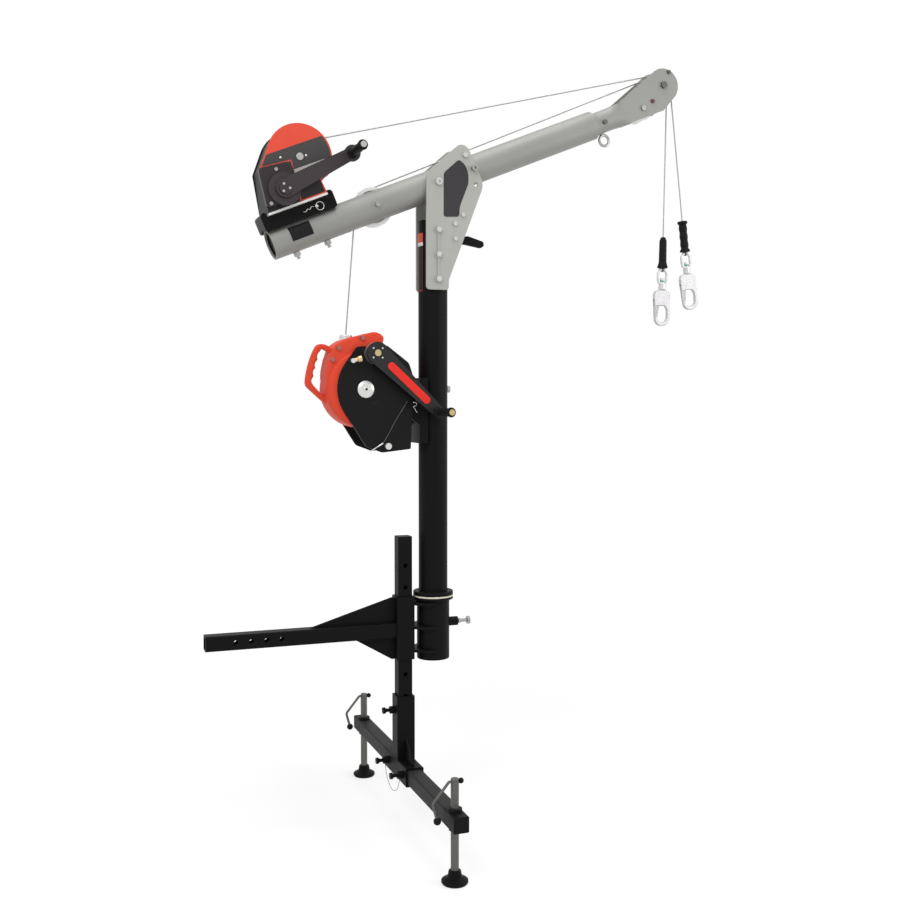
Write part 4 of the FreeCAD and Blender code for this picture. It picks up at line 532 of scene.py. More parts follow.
def tube(points, radius, around, ring=False):
    """Round section carried square to a path; its radius may change along it and round it."""
    step = np.roll(points, -1, 0) - np.roll(points, 1, 0) if ring else np.gradient(points, axis=0)
    tangent = unit(step)
    steady = (0.0, 1.0, 0.0) if abs(tangent[:, 1]).max() < 0.9 else (1.0, 0.0, 0.0)
    first = unit(np.cross(tangent, steady))
    second = np.cross(tangent, first)
    angle = full_turn(around)[:, None]
    section = np.cos(angle) * first[:, None] + np.sin(angle) * second[:, None]
    return points[:, None] + np.asarray(radius)[..., None] * section


def swept(name, points, radius, ring=False):
    """Plain round wire along a path."""
    return closed_surface(name, tube(np.asarray(points, float), radius, 10, ring), ring=ring)


def spline_points(controls, step):
    """Even points along a smooth NURBS line through a route's control points, and the line's length."""
    data = bpy.data.curves.new("route", "CURVE")
    data.dimensions = "3D"
    line = data.splines.new("NURBS")
    line.points.add(len(controls) - 1)
    line.points.foreach_set("co", np.c_[np.array(controls), np.ones(len(controls))].ravel())
    line.order_u = 3
    line.use_endpoint_u = True
    line.resolution_u = 24
    holder = bpy.data.objects.new("route", data)
    mesh = bpy.data.meshes.new_from_object(holder)
    raw = np.empty(len(mesh.vertices) * 3)
    mesh.vertices.foreach_get("co", raw)
    raw = raw.reshape(-1, 3)
    bpy.data.objects.remove(holder)
    bpy.data.curves.remove(data)
    bpy.data.meshes.remove(mesh)
    run = np.concatenate([[0.0], np.cumsum(np.linalg.norm(np.diff(raw, axis=0), axis=1))])
    even = np.linspace(0, run[-1], max(2, int(run[-1] / step) + 1))
    return np.stack([np.interp(even, run, raw[:, k]) for k in range(3)], 1), run[-1]


def wire_rope(name, controls):
    """Stranded rope: the section's radius dips between strands, and the dips turn once in each lay."""
    step, around, dip = 0.0034, 24, 0.20
    points, far = spline_points(controls, step)
    turns = np.linspace(0, far, len(points))[:, None] / sizes().lay
    strand = np.abs(np.cos(sizes().strands / 2 * (full_turn(around) - 2 * np.pi * turns)))
    radius = ROPE / 2 * (1 - dip + dip * np.sqrt(strand))
    return closed_surface(name, tube(points, radius, around)), points, far


def over_angle(start, start_r, end, end_r):
    """Angle of the side on which a taut line passes over two round things."""
    across, rise = end[0] - start[0], end[1] - start[1]
    return math.atan2(rise, across) + math.acos((start_r - end_r) / math.hypot(across, rise))


def rim(middle, radius, angle):
    """The point of a circle at an angle."""
    return middle[0] + radius * math.cos(angle), middle[1] + radius * math.sin(angle)


def pulley_corners(middle, radius, come, leave, count=4):
    """Corners of the polygon that a wrap touches, so that a smooth line through them hugs the pulley."""
    half = (leave - come) / count / 2
    return [rim(middle, radius / math.cos(half), come + half * (2 * k + 1)) for k in range(count)]


def mirrored_in(tangent, corner):
    """The point as far before a tangent point as a corner is past it."""
    return 2 * tangent[0] - corner[0], 2 * tangent[1] - corner[1]


def hook_point(which, down):
    """A point on a hook's line, so far below the top of its grip."""
    axle = boom_point(*HEAD_AXLE)
    lean = LEAN[which]
    far = DROP[which] + down
    x, z = rim((axle.x, axle.z), HEAD_PITCH, lean)
    return Vector((x + far * math.sin(lean), ROPE_SIDE[which], z - far * math.cos(lean)))


def fitted(made, body):
    """A new piece rides on a body."""
    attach(made, body)
    return made


def thin_wire(name, controls, step, body):
    """Thin round wire that hangs along a smooth line through its control points."""
    points, far = spline_points(controls, step)
    made = fitted(swept(name, points, THIN_WIRE / 2), body)


def rounded_outline(corners, count):
    """Closed outline of corners with a radius each: a corner becomes a curve between its two edges."""
    corners = np.asarray(corners, float)
    place, radius = corners[:, None, :2], corners[:, 2:]
    before = unit(np.roll(corners, 1, 0)[:, :2] - corners[:, :2])
    after = unit(np.roll(corners, -1, 0)[:, :2] - corners[:, :2])
    start, end = place + (before * radius)[:, None], place + (after * radius)[:, None]
    share = np.linspace(0.0, 1.0, count)[None, :, None]
    curve = (1 - share) ** 2 * start + 2 * share * (1 - share) * place + share ** 2 * end
    return curve.reshape(-1, 2)


def cast_shell(name, outline, half, inset, deep, count=9):
    """Casting with round shoulders: the outline is drawn in along its own normals by a quarter ellipse,
    inset wide and deep long, at both ends of a depth of twice half along Y."""
    tangent = unit(np.roll(outline, -1, 0) - np.roll(outline, 1, 0))
    normal = np.stack([-tangent[:, 1], tangent[:, 0]], 1)
    turn = np.concatenate([np.linspace(-np.pi / 2, 0, count), np.linspace(0, np.pi / 2, count)])
    drawn = inset * (1 - np.cos(turn))
    depth = np.repeat([deep - half, half - deep], count) + deep * np.sin(turn)
    flat = outline + drawn[:, None, None] * normal
    depth = np.broadcast_to(depth[:, None], flat.shape[:2])
    return closed_surface(name, np.stack([flat[..., 0], depth, flat[..., 1]], -1))


def bar_between(name, outer, inner, half):
    """Bar between two lines: a rounded rectangle, as wide as the lines are apart and twice half deep along
    Y, carried along both. Its rounding is a power of the sine and cosine of a full turn."""
    around, power = 28, 0.55
    angle = full_turn(around)[:, None]
    wide = np.sign(np.cos(angle)) * np.abs(np.cos(angle)) ** power
    deep = np.sign(np.sin(angle)) * np.abs(np.sin(angle)) ** power
    flat = ((outer + inner) / 2)[:, None] + ((outer - inner) / 2)[:, None] * wide
    return closed_surface(name, flat + half * deep * np.array([0.0, 1.0, 0.0]))


def skin(name, place, low, high, thick, rows=24, across=24):
    """Skin on a round tube: a thin section, its foot and its top, carried along from low to high."""
    v = np.linspace(low[1], high[1], across)
    section = np.concatenate([v, v[::-1]])
    u, v = np.meshgrid(np.linspace(low[0], high[0], rows), section, indexing="ij")
    height = np.broadcast_to(np.repeat([0.0, thick], across), u.shape)
    return closed_surface(name, place(u, v, height), False)


def turned_shape(name, origin, axis, profile, around=40):
    """Surface of revolution: rows of radius and distance along the axis turned about it, ends closed."""
    askew = (0.3, 0.2, 0.9)
    side = np.cross(axis, askew)
    side /= np.linalg.norm(side)
    angle = full_turn(around)[:, None]
    circle = np.cos(angle) * side + np.sin(angle) * np.cross(axis, side)
    profile = np.asarray(profile, float)[..., None, None]
    grid = np.asarray(origin) + profile[:, 0] * circle + profile[:, 1] * np.asarray(axis)
    return closed_surface(name, grid)


def dome_rows(radius, height):
    """Profile of a rivet's head: nearly a quarter of an ellipse, from its foot to its crown."""
    share, count = 0.97, 7
    turn = np.linspace(0.0, np.pi / 2 * share, count)
    return np.stack([radius * np.cos(turn), height * np.sin(turn)], 1)


# Operators

class DAVIT_OT_ropes(bpy.types.Operator):
    """Stranded wire ropes along the boom, up from the block and down to both hooks"""
    bl_idname = "davit.ropes"
    bl_label = "Wire ropes"

    def over_head(self, start, start_r, which):
        """Angle and control points from a start, over the head sheave, to where the rope drops."""
        come = over_angle(start, start_r, HEAD_AXLE, HEAD_PITCH)
        leave = LEAN[which] - LUFF
        corners = pulley_corners(HEAD_AXLE, HEAD_PITCH, come, leave)
        lead = mirrored_in(rim(HEAD_AXLE, HEAD_PITCH, come), corners[0])
        return come, [rim(start, start_r, come), lead] + corners + [rim(HEAD_AXLE, HEAD_PITCH, leave)]

    def rope(self, name, node, controls, blend=None):
        """A rope rides on the boom, or with two bodies given is left unattached in the shared frame, in place
        of a plain line.
        """
        made, path, far = wire_rope(name, controls)
        if blend:
            tuple(controls[0])
            tuple(controls[-1])
            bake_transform(made)
        else:
            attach(made, "boom")
        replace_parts(made, node)
        tuple(path[0])
        return name

    def straight(self, start, end, high):
        """Control points of a straight rope, with one more close to its high end."""
        low = end if high is start else start
        return [start, high + (low - high).normalized() * 6 * ROPE, end]

    def execute(self, context):
        _, winch = self.over_head(DRUM, DRUM_WRAP, "winch")
        rear = boom_point(*REAR_SHEAVE)
        rear = (rear.x - MAST_X, rear.z)
        meet = over_angle(OUTLET, 0.0, rear, REAR_PITCH)
        come, life = self.over_head(REAR_SHEAVE, REAR_PITCH, "life")
        corners = pulley_corners(REAR_SHEAVE, REAR_PITCH, meet - LUFF, come)
        leave = mirrored_in(rim(REAR_SHEAVE, REAR_PITCH, come), corners[-1])
        life = [rim(REAR_SHEAVE, REAR_PITCH, meet - LUFF)] + corners + [leave] + life[1:]
        names = []
        for name, which, flat in (("winch_rope_run", "winch", winch), ("lifeline_rope_run", "life", life)):
            controls = [boom_point(s, n, ROPE_SIDE[which]) for s, n in flat]
            names.append(self.rope(name, "boom_lines", controls))
        low = mast_point(*OUTLET, ROPE_SIDE["life"])
        high = mast_point(*rim(rear, REAR_PITCH, meet), ROPE_SIDE["life"])
        controls = self.straight(low, high, high)
        names.append(self.rope("lifeline_rope_rise", "lifeline_rise", controls, ("mast", "boom")))
        for which, word in (("winch", "winch"), ("life", "lifeline")):
            high, low = hook_point(which, -DROP[which]), hook_point(which, 0.0)
            controls = self.straight(high, low, high)
            bodies = (which + "_swing", which + "_lift")
            names.append(self.rope(word + "_rope_drop", word + "_drop_line", controls, bodies))
        finish = Finish("galvanised_rope", clouds=30.0, grain=1500.0, depth=0.35, metallic=0.7)
        finish.colour((0.33, 0.33, 0.32)).rough(0.32, 0.5).bump(0.0001, 0.3)
        dress(finish, *names)
        return {"FINISHED"}


class DAVIT_OT_panels(bpy.types.Operator):
    """Bare panels on the hinge, the boom's rear and the mast"""
    bl_idname = "davit.panels"
    bl_label = "Bare panels"

    def hinge(self):
        """Dark rounded panel on the near hinge plate: its outline is repeated at the face, near the top
        and, drawn in a little, on the top."""
        corners = [(0.075, 1.626), (0.019, 1.576), (0.019, 1.427), (0.075, 1.430), (0.078, 1.466),
                   (0.110, 1.547), (0.109, 1.580), (0.097, 1.609)]
        corner_r, drawn_in, near_top = 0.010, 0.02, 0.7
        outline = rounded_outline([(x, z, corner_r) for x, z in corners], count=7)
        inset = outline + (outline.mean(0) - outline) * drawn_in
        flat = np.stack([outline, outline, inset])
        depth = -HINGE_FACE - PANEL_THICK * np.array([[0.0], [near_top], [1.0]])
        depth = np.broadcast_to(depth, flat.shape[:2])
        grid = np.stack([MAST_X + flat[..., 0], depth, flat[..., 1]], -1)
        fitted(closed_surface("hinge_panel", grid, False), "mast")

    def boom(self):
        """Dark label on the near side of the boom's rear end."""
        def place(s, angle, height):
            far = TUBE_R + height
            return boom_points(s, far * np.sin(angle), -far * np.cos(angle))

        low, high = (-0.550, math.radians(-19)), (-0.474, math.radians(35))
        fitted(skin("boom_label", place, low, high, PANEL_THICK), "boom")

    def mast(self):
        """Narrow label on the rear of the mast, between the hinge plates."""
        def place(z, angle, height):
            far = TUBE_R + height
            return np.stack([MAST_X - far * np.cos(angle), -far * np.sin(angle), z], -1)

        low, high = (1.173, math.radians(-14)), (1.374, math.radians(29))
        fitted(skin("mast_label", place, low, high, PANEL_THICK), "mast")

    def mast_print(self):
        """Dark face with a thin red edge, and a red top over a pale line."""
        finish = Finish("mast_label_print", clouds=20.0, grain=400.0, depth=0.2, specular=0.12)
        x, y, z = finish.axes((MAST_X, 0.0, 0.0))
        turn = (y * -1.0).math("ARCTAN2", x * -1.0)
        edge_turn, edge_foot = (math.radians(26.0), math.radians(28.0)), (1.175, 1.178)
        line_foot, line_top = 1.330, 1.342
        edge = turn.between(*edge_turn) | z.between(*edge_foot)
        finish.colour((0.012, 0.010, 0.010), (edge, (0.22, 0.035, 0.025)),
                      (z > line_top, (0.60, 0.075, 0.05)),
                      (z.between(line_foot, line_top), (0.72, 0.66, 0.66)))
        dress(finish.rough(0.36, 0.5).bump(0.0002, 0.3), "mast_label")

    def execute(self, context):
        self.hinge()
        self.boom()
        self.mast()
        dress(moulded("dark_panel", (0.040, 0.037, 0.040), 0.34, 0.46, 300.0, 0.2), "hinge_panel")
        dress(moulded("boom_label_print", (0.010, 0.010, 0.011), 0.34, 0.46, 300.0, 0.15), "boom_label")
        self.mast_print()
        return {"FINISHED"}


class DAVIT_OT_block(bpy.types.Operator):
    """Cast housing of the lifeline block: round drum, crown and carry handle with finger grooves"""
    bl_idname = "davit.block"
    bl_label = "Lifeline block"

    def drum(self):
        """Round casting about the block's hub."""
        turn = full_turn(120)
        middle = np.array([MAST_X + BLOCK_HUB[0], BLOCK_HUB[1]])
        circle = middle + BLOCK_R * np.stack([np.cos(turn), np.sin(turn)], 1)
        return cast_shell("block_drum", circle, BLOCK_HALF, inset=0.009, deep=0.024)

    def crown(self):
        """Casting over the drum, from corners out, up and their radius."""
        corners = [(-0.384, 0.930, 0.022), (-0.393, 0.884, 0.022), (-0.388, 0.835, 0.010),
                   (-0.160, 0.835, 0.010), (-0.160, 0.890, 0.010), (-0.197, 0.991, 0.008),
                   (-0.191, 1.013, 0.012), (-0.219, 1.032, 0.019), (-0.334, 1.002, 0.014),
                   (-0.367, 0.979, 0.016)]
        outline = rounded_outline([(MAST_X + x, z, radius) for x, z, radius in corners], count=9)
        return cast_shell("block_crown", outline, CROWN_HALF, inset=0.007, deep=0.007)

    def handle(self):
        """Bar between two lines, with finger grooves, half waves of a sine, in the inner one."""
        outer = [(-0.340, 0.945), (-0.368, 0.977), (-0.386, 0.987), (-0.412, 0.988), (-0.426, 0.968),
                 (-0.443, 0.925), (-0.453, 0.880), (-0.456, 0.848), (-0.440, 0.833), (-0.398, 0.795),
                 (-0.372, 0.775)]
        inner = [(-0.330, 0.935), (-0.366, 0.948), (-0.385, 0.966), (-0.397, 0.972), (-0.406, 0.962),
                 (-0.411, 0.938), (-0.420, 0.910), (-0.428, 0.872), (-0.431, 0.851), (-0.417, 0.837),
                 (-0.395, 0.815), (-0.360, 0.785)]
        grooves, groove_deep, grip_start, grip_long = 4, 0.005, 0.30, 0.38
        share = np.linspace(0, 1, 140)
        lines = []
        for spots in (outer, inner):
            points, _ = spline_points([mast_point(x, z) for x, z in spots], 0.0005)
            lines.append(points[np.round(share * (len(points) - 1)).astype(int)])
        grip = np.clip((share - grip_start) / grip_long, 0, 1)
        wave = groove_deep * np.abs(np.sin(grooves * np.pi * grip))[:, None]
        lines[1] = lines[1] + wave * unit(lines[0] - lines[1])
        return bar_between("block_handle", *lines, HANDLE_HALF)

    def execute(self, context):
        for made in (self.drum(), self.crown(), self.handle()):
            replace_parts(fitted(made, "mast"), "lifeline_housing")
        return {"FINISHED"}


class DAVIT_OT_head(bpy.types.Operator):
    """Fairings that lead the round nose into the flat head plates"""
    bl_idname = "davit.head"
    bl_label = "Head fairings"

    def fairing(self, name, side):
        """Skin from the nose to a plate's tail: the depth goes from the tube's to the plate's by a smooth
        step along the boom, over an inner side just under the tube's surface."""
        slope = (HEAD_TAIL[0] - HEAD_HEEL[0]) / (HEAD_TAIL[1] - HEAD_HEEL[1])
        overlap, sunk = 0.001, 0.003

        def place(share, angle, height):
            n = NOSE_R * np.sin(angle)
            depth = NOSE_R * np.cos(angle)
            s = HEAD_HEEL[0] + slope * (n - HEAD_HEEL[1]) - FAIRING_LONG * (1 - share) + overlap
            step = share ** 2 * (3 - 2 * share)
            y = depth + (HEAD_PLATE - depth) * step * height - sunk * (1 - height)
            return boom_points(s, n, side * y)

        low, high = (0.0, -FAIRING_REACH), (1.0, FAIRING_REACH)
        made = skin(name, place, low, high, thick=1.0, rows=32, across=40)
        made.data.polygons.foreach_set("use_smooth", np.full(len(made.data.polygons), True))
        made.data.set_sharp_from_angle(angle=math.radians(35))
        fitted(made, "boom")

    def execute(self, context):
        self.fairing("head_fairing_near", -1)
        self.fairing("head_fairing_far", 1)
        return {"FINISHED"}


class DAVIT_OT_fittings(bpy.types.Operator):
    """Small fittings: ring pin, lanyard with quick pin, lock wire, rivets and the drum's winding"""
    bl_idname = "davit.fittings"
    bl_label = "Small fittings"

    def ring_pin(self):
        """Pin through the saddle's side with a split ring and a wire clip."""
        rows = [(0.0001, 0.0), (0.0055, 0.0), (0.0055, 0.009), (0.0045, 0.0105), (0.0001, 0.0105)]
        pin = turned_shape("pin", boom_point(-0.434, 0.063, -SADDLE_SIDE), NEARWARD, rows)
        turn = full_turn(40)
        middle, ring_r = (-0.423, 0.060), 0.0135
        depth = np.full(len(turn), -SADDLE_SIDE - 0.0065)
        circle = boom_points(middle[0] + ring_r * np.cos(turn), middle[1] + ring_r * np.sin(turn), depth)
        ring = swept("ring", circle, 0.0014, True)
        bends = [(-0.442, 0.064), (-0.450, 0.070), (-0.458, 0.058), (-0.466, 0.066), (-0.474, 0.055),
                 (-0.482, 0.061)]
        clip, _ = spline_points([boom_point(s, n, -SADDLE_SIDE - 0.0022) for s, n in bends], 0.0012)
        pieces = [pin, ring, swept("clip", clip, 0.0012)]
        fitted(joined("saddle_ring_pin", pieces), "boom")

    def lanyard(self):
        """Wire from the bracket's clip to a hanging quick pin, in front of the block's near plate."""
        front, clip_front = -BLOCK_FACE - 0.003, -BLOCK_FACE - 0.0075
        spots = [(-0.116, 0.795), (-0.137, 0.765), (-0.158, 0.732), (-0.181, 0.690), (-0.199, 0.660),
                 (-0.205, 0.651)]
        thin_wire("block_lanyard", [mast_point(x, z, front) for x, z in spots], 0.002, "mast")
        start, end = mast_point(-0.203, 0.6535, front), mast_point(-0.252, 0.6235, front)
        along = np.asarray(end - start)
        far = np.linalg.norm(along)
        rows = [(0.0001, 0.0), (0.0026, 0.0004), (0.0034, 0.003), (0.0034, 0.010), (0.0026, 0.012),
                (0.0026, 0.020), (0.0018, 0.022), (0.0018, far - 0.003), (0.0010, far), (0.0001, far)]
        quick = turned_shape("quick_pin_body", start, along / far, rows, around=20)
        bends = [(-0.099, 0.790), (-0.088, 0.792), (-0.084, 0.784), (-0.092, 0.778), (-0.100, 0.777),
                 (-0.092, 0.771), (-0.088, 0.760), (-0.083, 0.756)]
        clip, _ = spline_points([mast_point(x, z, clip_front) for x, z in bends], 0.001)
        pieces = [quick, swept("bracket_clip", clip, 0.0011)]
        fitted(joined("block_quick_pin", pieces), "mast")

    def lock_wire(self):
        """Thin wire hung between the two crossbar locks, in front of the sleeve."""
        spots = [(0.085, -0.499), (0.083, -0.512), (0.060, -0.548), (0.0, -0.572), (-0.060, -0.548),
                 (-0.083, -0.512), (-0.085, -0.499)]
        thin_wire("lock_wire", [Vector((LOCK_X, y, z)) for y, z in spots], 0.004, "leg")

    def rivets(self):
        """Domed rivets on the winch's near plate."""
        spots = [boom_point(-0.408, 0.224, -WINCH_FACE), boom_point(-0.491, 0.244, -WINCH_FACE)]
        rows = dome_rows(radius=0.0042, height=0.0024)
        heads = [turned_shape("rivet", spot, NEARWARD, rows, around=20) for spot in spots]
        fitted(joined("winch_rivets", heads), "boom")

    def winding(self):
        """Wound rope on the drum: half rounds, one for each turn, spun about the drum's axis."""
        turns = np.linspace(0, DRUM_TURNS, DRUM_TURNS * 8 + 1)
        height = DRUM_WRAP + ROPE / 2 * np.abs(np.sin(np.pi * turns))
        rows = np.stack([height, turns * 2 * DRUM_HALF / DRUM_TURNS - DRUM_HALF], 1)
        rows = np.concatenate([[[DRUM_CORE, -DRUM_HALF]], rows, [[DRUM_CORE, DRUM_HALF]]])
        made = turned_shape("drum_winding", boom_point(*DRUM), (0.0, 1.0, 0.0), rows, around=72)
        fitted(made, "drum")

    def execute(self, context):
        self.ring_pin()
        self.lanyard()
        self.lock_wire()
        self.rivets()
        self.winding()
        bright = plated("fitting_wire", (0.55, 0.55, 0.53))
        dress(bright, "saddle_ring_pin", "block_quick_pin", "winch_rivets")
        dress(plated("thin_wire", (0.13, 0.13, 0.12), 0.4, 0.55, 0.5), "block_lanyard", "lock_wire")
        dress(plated("drum_rope", (0.30, 0.30, 0.29), 0.35, 0.5, 0.7), "drum_winding")
        return {"FINISHED"}


class DAVIT_OT_coats(bpy.types.Operator):
    """Powder coats of the hitch frame, post, leg, crossbar, mast and winch"""
    bl_idname = "davit.coats"
    bl_label = "Powder coats"

    def crossbar(self):
        """Crossbar: grey coat, black round the jacks at both ends."""
        finish = Finish("crossbar_coat", clouds=5.0, grain=900.0, depth=0.35, specular=0.08)
        _, y, _ = finish.axes((0.0, 0.0, 0.0))
        end = y.math("ABSOLUTE") > JACK_Y - JACK_BLACK
        finish.colour(colours().bar, (end, colours().coat))
        dress(finish.rough(0.42, 0.56).bump(0.00015, 0.35), "crossbar_tube")

    def winch_crank(self):
        """Winch crank: dark coat with bright rivets in its boss and a plated pin head."""
        finish = Finish("winch_crank_coat", clouds=9.0, grain=800.0, depth=0.3, specular=0.4)
        s, y, n = finish.axes(boom_point(*WINCH_CRANK))
        rivets = (y < -WINCH_RIVET_FACE) & (away(s, n) < WINCH_BOSS_R)
        bright = rivets | (y < -WINCH_PIN_FACE)
        finish.colour((0.030, 0.022, 0.024), (bright, (0.5, 0.49, 0.47)))
        dress(finish.metal_where(bright).rough(0.3, 0.42).bump(0.0001, 0.25), "winch_crank")

    def bracket(self):
        """Bracket of the lifeline block: black, with the bright nut of its bolt beyond the mast."""
        finish = Finish("bracket_coat", clouds=6.0, grain=900.0, depth=0.3, specular=0.08)
        x, _, _ = finish.axes((MAST_X, 0.0, 0.0))
        nut = x > TUBE_R
        finish.colour(colours().coat, (nut, colours().steel))
        dress(finish.metal_where(nut).rough(0.38, 0.5).bump(0.00015, 0.3), "lifeline_bracket")

    def execute(self, context):
        dress(powder_coat("black_powder_coat", colours().coat), "hitch_bar", "frame_plates", "post_box",
              "mast_socket", "post_tube", "leg_frame", "mast_tube", "foot_pad_near", "foot_pad_far",
              "post_plunger", "leg_plunger", "bar_plunger_near", "bar_plunger_far")
        self.crossbar()
        plate = powder_coat("black_plate_coat", (0.007, 0.007, 0.0075), 0.38, 0.5, 0.12)
        dress(plate, "lifeline_plates")
        dress(powder_coat("lever_coat", (0.007, 0.007, 0.007)), "release_lever")
        winch = powder_coat("winch_coat", (0.007, 0.006, 0.006), 0.36, 0.5)
        dress(winch, "winch_bracket", "drum_guard")
        dress(powder_coat("gear_cover_coat", (0.034, 0.028, 0.030), 0.34, 0.46, 0.2), "gear_cover")
        self.winch_crank()
        self.bracket()
        return {"FINISHED"}


class DAVIT_OT_metals(bpy.types.Operator):
    """Satin paint of boom and head, bare jack screws, plated bolts and hooks"""
    bl_idname = "davit.metals"
    bl_label = "Metals"

    def jack(self, side, y):
        """Bare screw with a thread's ridges, and black balls on the handle."""
        finish = Finish("jack_steel_" + side, clouds=25.0, grain=700.0, depth=0.35, specular=0.12)
        across, deep, z = finish.axes((JACK_X, y, 0.0))
        half_turn = 0.5
        turn = deep.math("ARCTAN2", across) * (half_turn / math.pi)
        ridge = (z * (1.0 / sizes().thread_pitch) + turn).math("PINGPONG", half_turn)
        knob = finish.zone((JACK_X + JACK_KNOB[0], y, JACK_KNOB[1]), JACK_KNOB_R)
        black = knob | finish.zone((JACK_X + JACK_STOP[0], y, JACK_STOP[1]), JACK_STOP_R)
        finish.colour((0.13, 0.13, 0.12), (black, solid((0.006, 0.006, 0.006))))
        finish.metal_where(~black, 0.7).rough(0.36, 0.52).bump(0.0006, 0.5, ridge)
        dress(finish, "jack_screw_" + side)

    def hook_ring(self, which, word):
        """Pale plated ring with a dark ball at its top and a green band on its stud."""
        finish = Finish(word + "_ring_plate", clouds=40.0, grain=900.0, depth=0.12)
        across, deep, up = finish.axes(hook_point(which, 0.0), LEAN[which])
        band = up.between(*STUD_BAND) & (away(across, deep) < STUD_R)
        bead = finish.zone(hook_point(which, BEAD_DOWN), BEAD_R)
        finish.colour((0.62, 0.61, 0.61), (band, solid((0.05, 0.36, 0.20))),
                      (bead, solid((0.09, 0.09, 0.09))))
        finish.metal_where(~band, 0.3).rough(0.28, 0.42).bump(0.00006, 0.2)
        dress(finish, word + "_hook_eye")

    def boom_bolts(self):
        """Boom bolts: plated, but dark at the axle, top screw and nose, and reddish at the low bolt."""
        finish = Finish("boom_bolt_plate", clouds=40.0, grain=900.0, depth=0.3, metallic=0.95)
        layers = []
        # The axle's dark tone is painted reflection: it stands in for dark surroundings mirrored in a chrome
        # bolt.
        for place, radius, tone in ((HEAD_AXLE, 0.0165, (0.13, 0.13, 0.13)),
                                    ((1.0177, 0.0819), 0.010, (0.10, 0.10, 0.10)),
                                    ((0.913, 0.0037), 0.010, (0.11, 0.055, 0.055)),
                                    ((0.697, -0.0066), 0.0115, (0.13, 0.13, 0.13))):
            layers += [(finish.zone(boom_point(*place, y), radius), tone) for y in (-HEAD_FACE, HEAD_FACE)]
        finish.colour(colours().steel, *layers)
        dress(finish.rough(0.22, 0.38).bump(0.00006, 0.2), "boom_bolts")

    def execute(self, context):
        dress(satin_paint("boom_paint", colours().boom, (0.0, LUFF, 0.0)), "boom_tube", "nose_tube",
              "head_plates", "head_fairing_near", "head_fairing_far")
        # Painted light: the hinge plates take the boom's satin paint made 1.4 times lighter, a lit copy of
        # the same paint.
        pale = [c * 1.4 for c in colours().boom]
        dress(satin_paint("hinge_paint_painted_lighter", pale, (0.0, math.pi / 2, 0.0)), "hinge_plates")
        dress(plated("zinc_plate", colours().steel), "mast_plunger", "boom_lock_bolt", "eye_bolt")
        dress(plated("hinge_bolt_plate", (0.60, 0.60, 0.59), 0.14, 0.26), "hinge_bolts")
        self.boom_bolts()
        dress(plated("pale_base", (0.80, 0.80, 0.78), 0.3, 0.45, 0.3), "winch_base")
        for part, name, tone in (("_snap_body", "pale_forging", (0.52, 0.51, 0.52)),
                                 ("_snap_gate", "gate_forging", (0.36, 0.35, 0.36))):
            dress(plated(name, tone, 0.3, 0.44, 0.3), "winch" + part, "lifeline" + part)
        dress(powder_coat("nut_coat", (0.010, 0.010, 0.010)), "jack_nuts")
        dress(plated("drum_steel", (0.42, 0.42, 0.41), 0.35, 0.5), "winch_drum")
        self.jack("near", -JACK_Y)
        self.jack("far", JACK_Y)
        self.hook_ring("winch", "winch")
        self.hook_ring("life", "lifeline")
        return {"FINISHED"}


class DAVIT_OT_plastics(bpy.types.Operator):
    """Plastic plugs, caps, sheaves and rubber grips"""
    bl_idname = "davit.plastics"
    bl_label = "Plastics and rubber"

    def execute(self, context):
        dress(moulded("black_plug", (0.006, 0.006, 0.006), specular=0.1), "crossbar_caps", "boom_plug")
        dress(moulded("cream_ring", colours().cream), "bearing_ring")
        nylon = moulded("white_nylon", colours().nylon, 0.4, 0.5)
        dress(nylon, "head_sheave_near", "head_sheave_far", "guide_roller")
        dress(moulded("pale_nylon", (0.92, 0.92, 0.91), 0.4, 0.5), "rear_sheave")
        rubber = moulded("black_rubber", (0.008, 0.0075, 0.0075), 0.5, 0.68, 350.0, 0.12)
        dress(rubber, "winch_grip", "lifeline_grip", "winch_hook_grip", "lifeline_hook_grip")
        return {"FINISHED"}


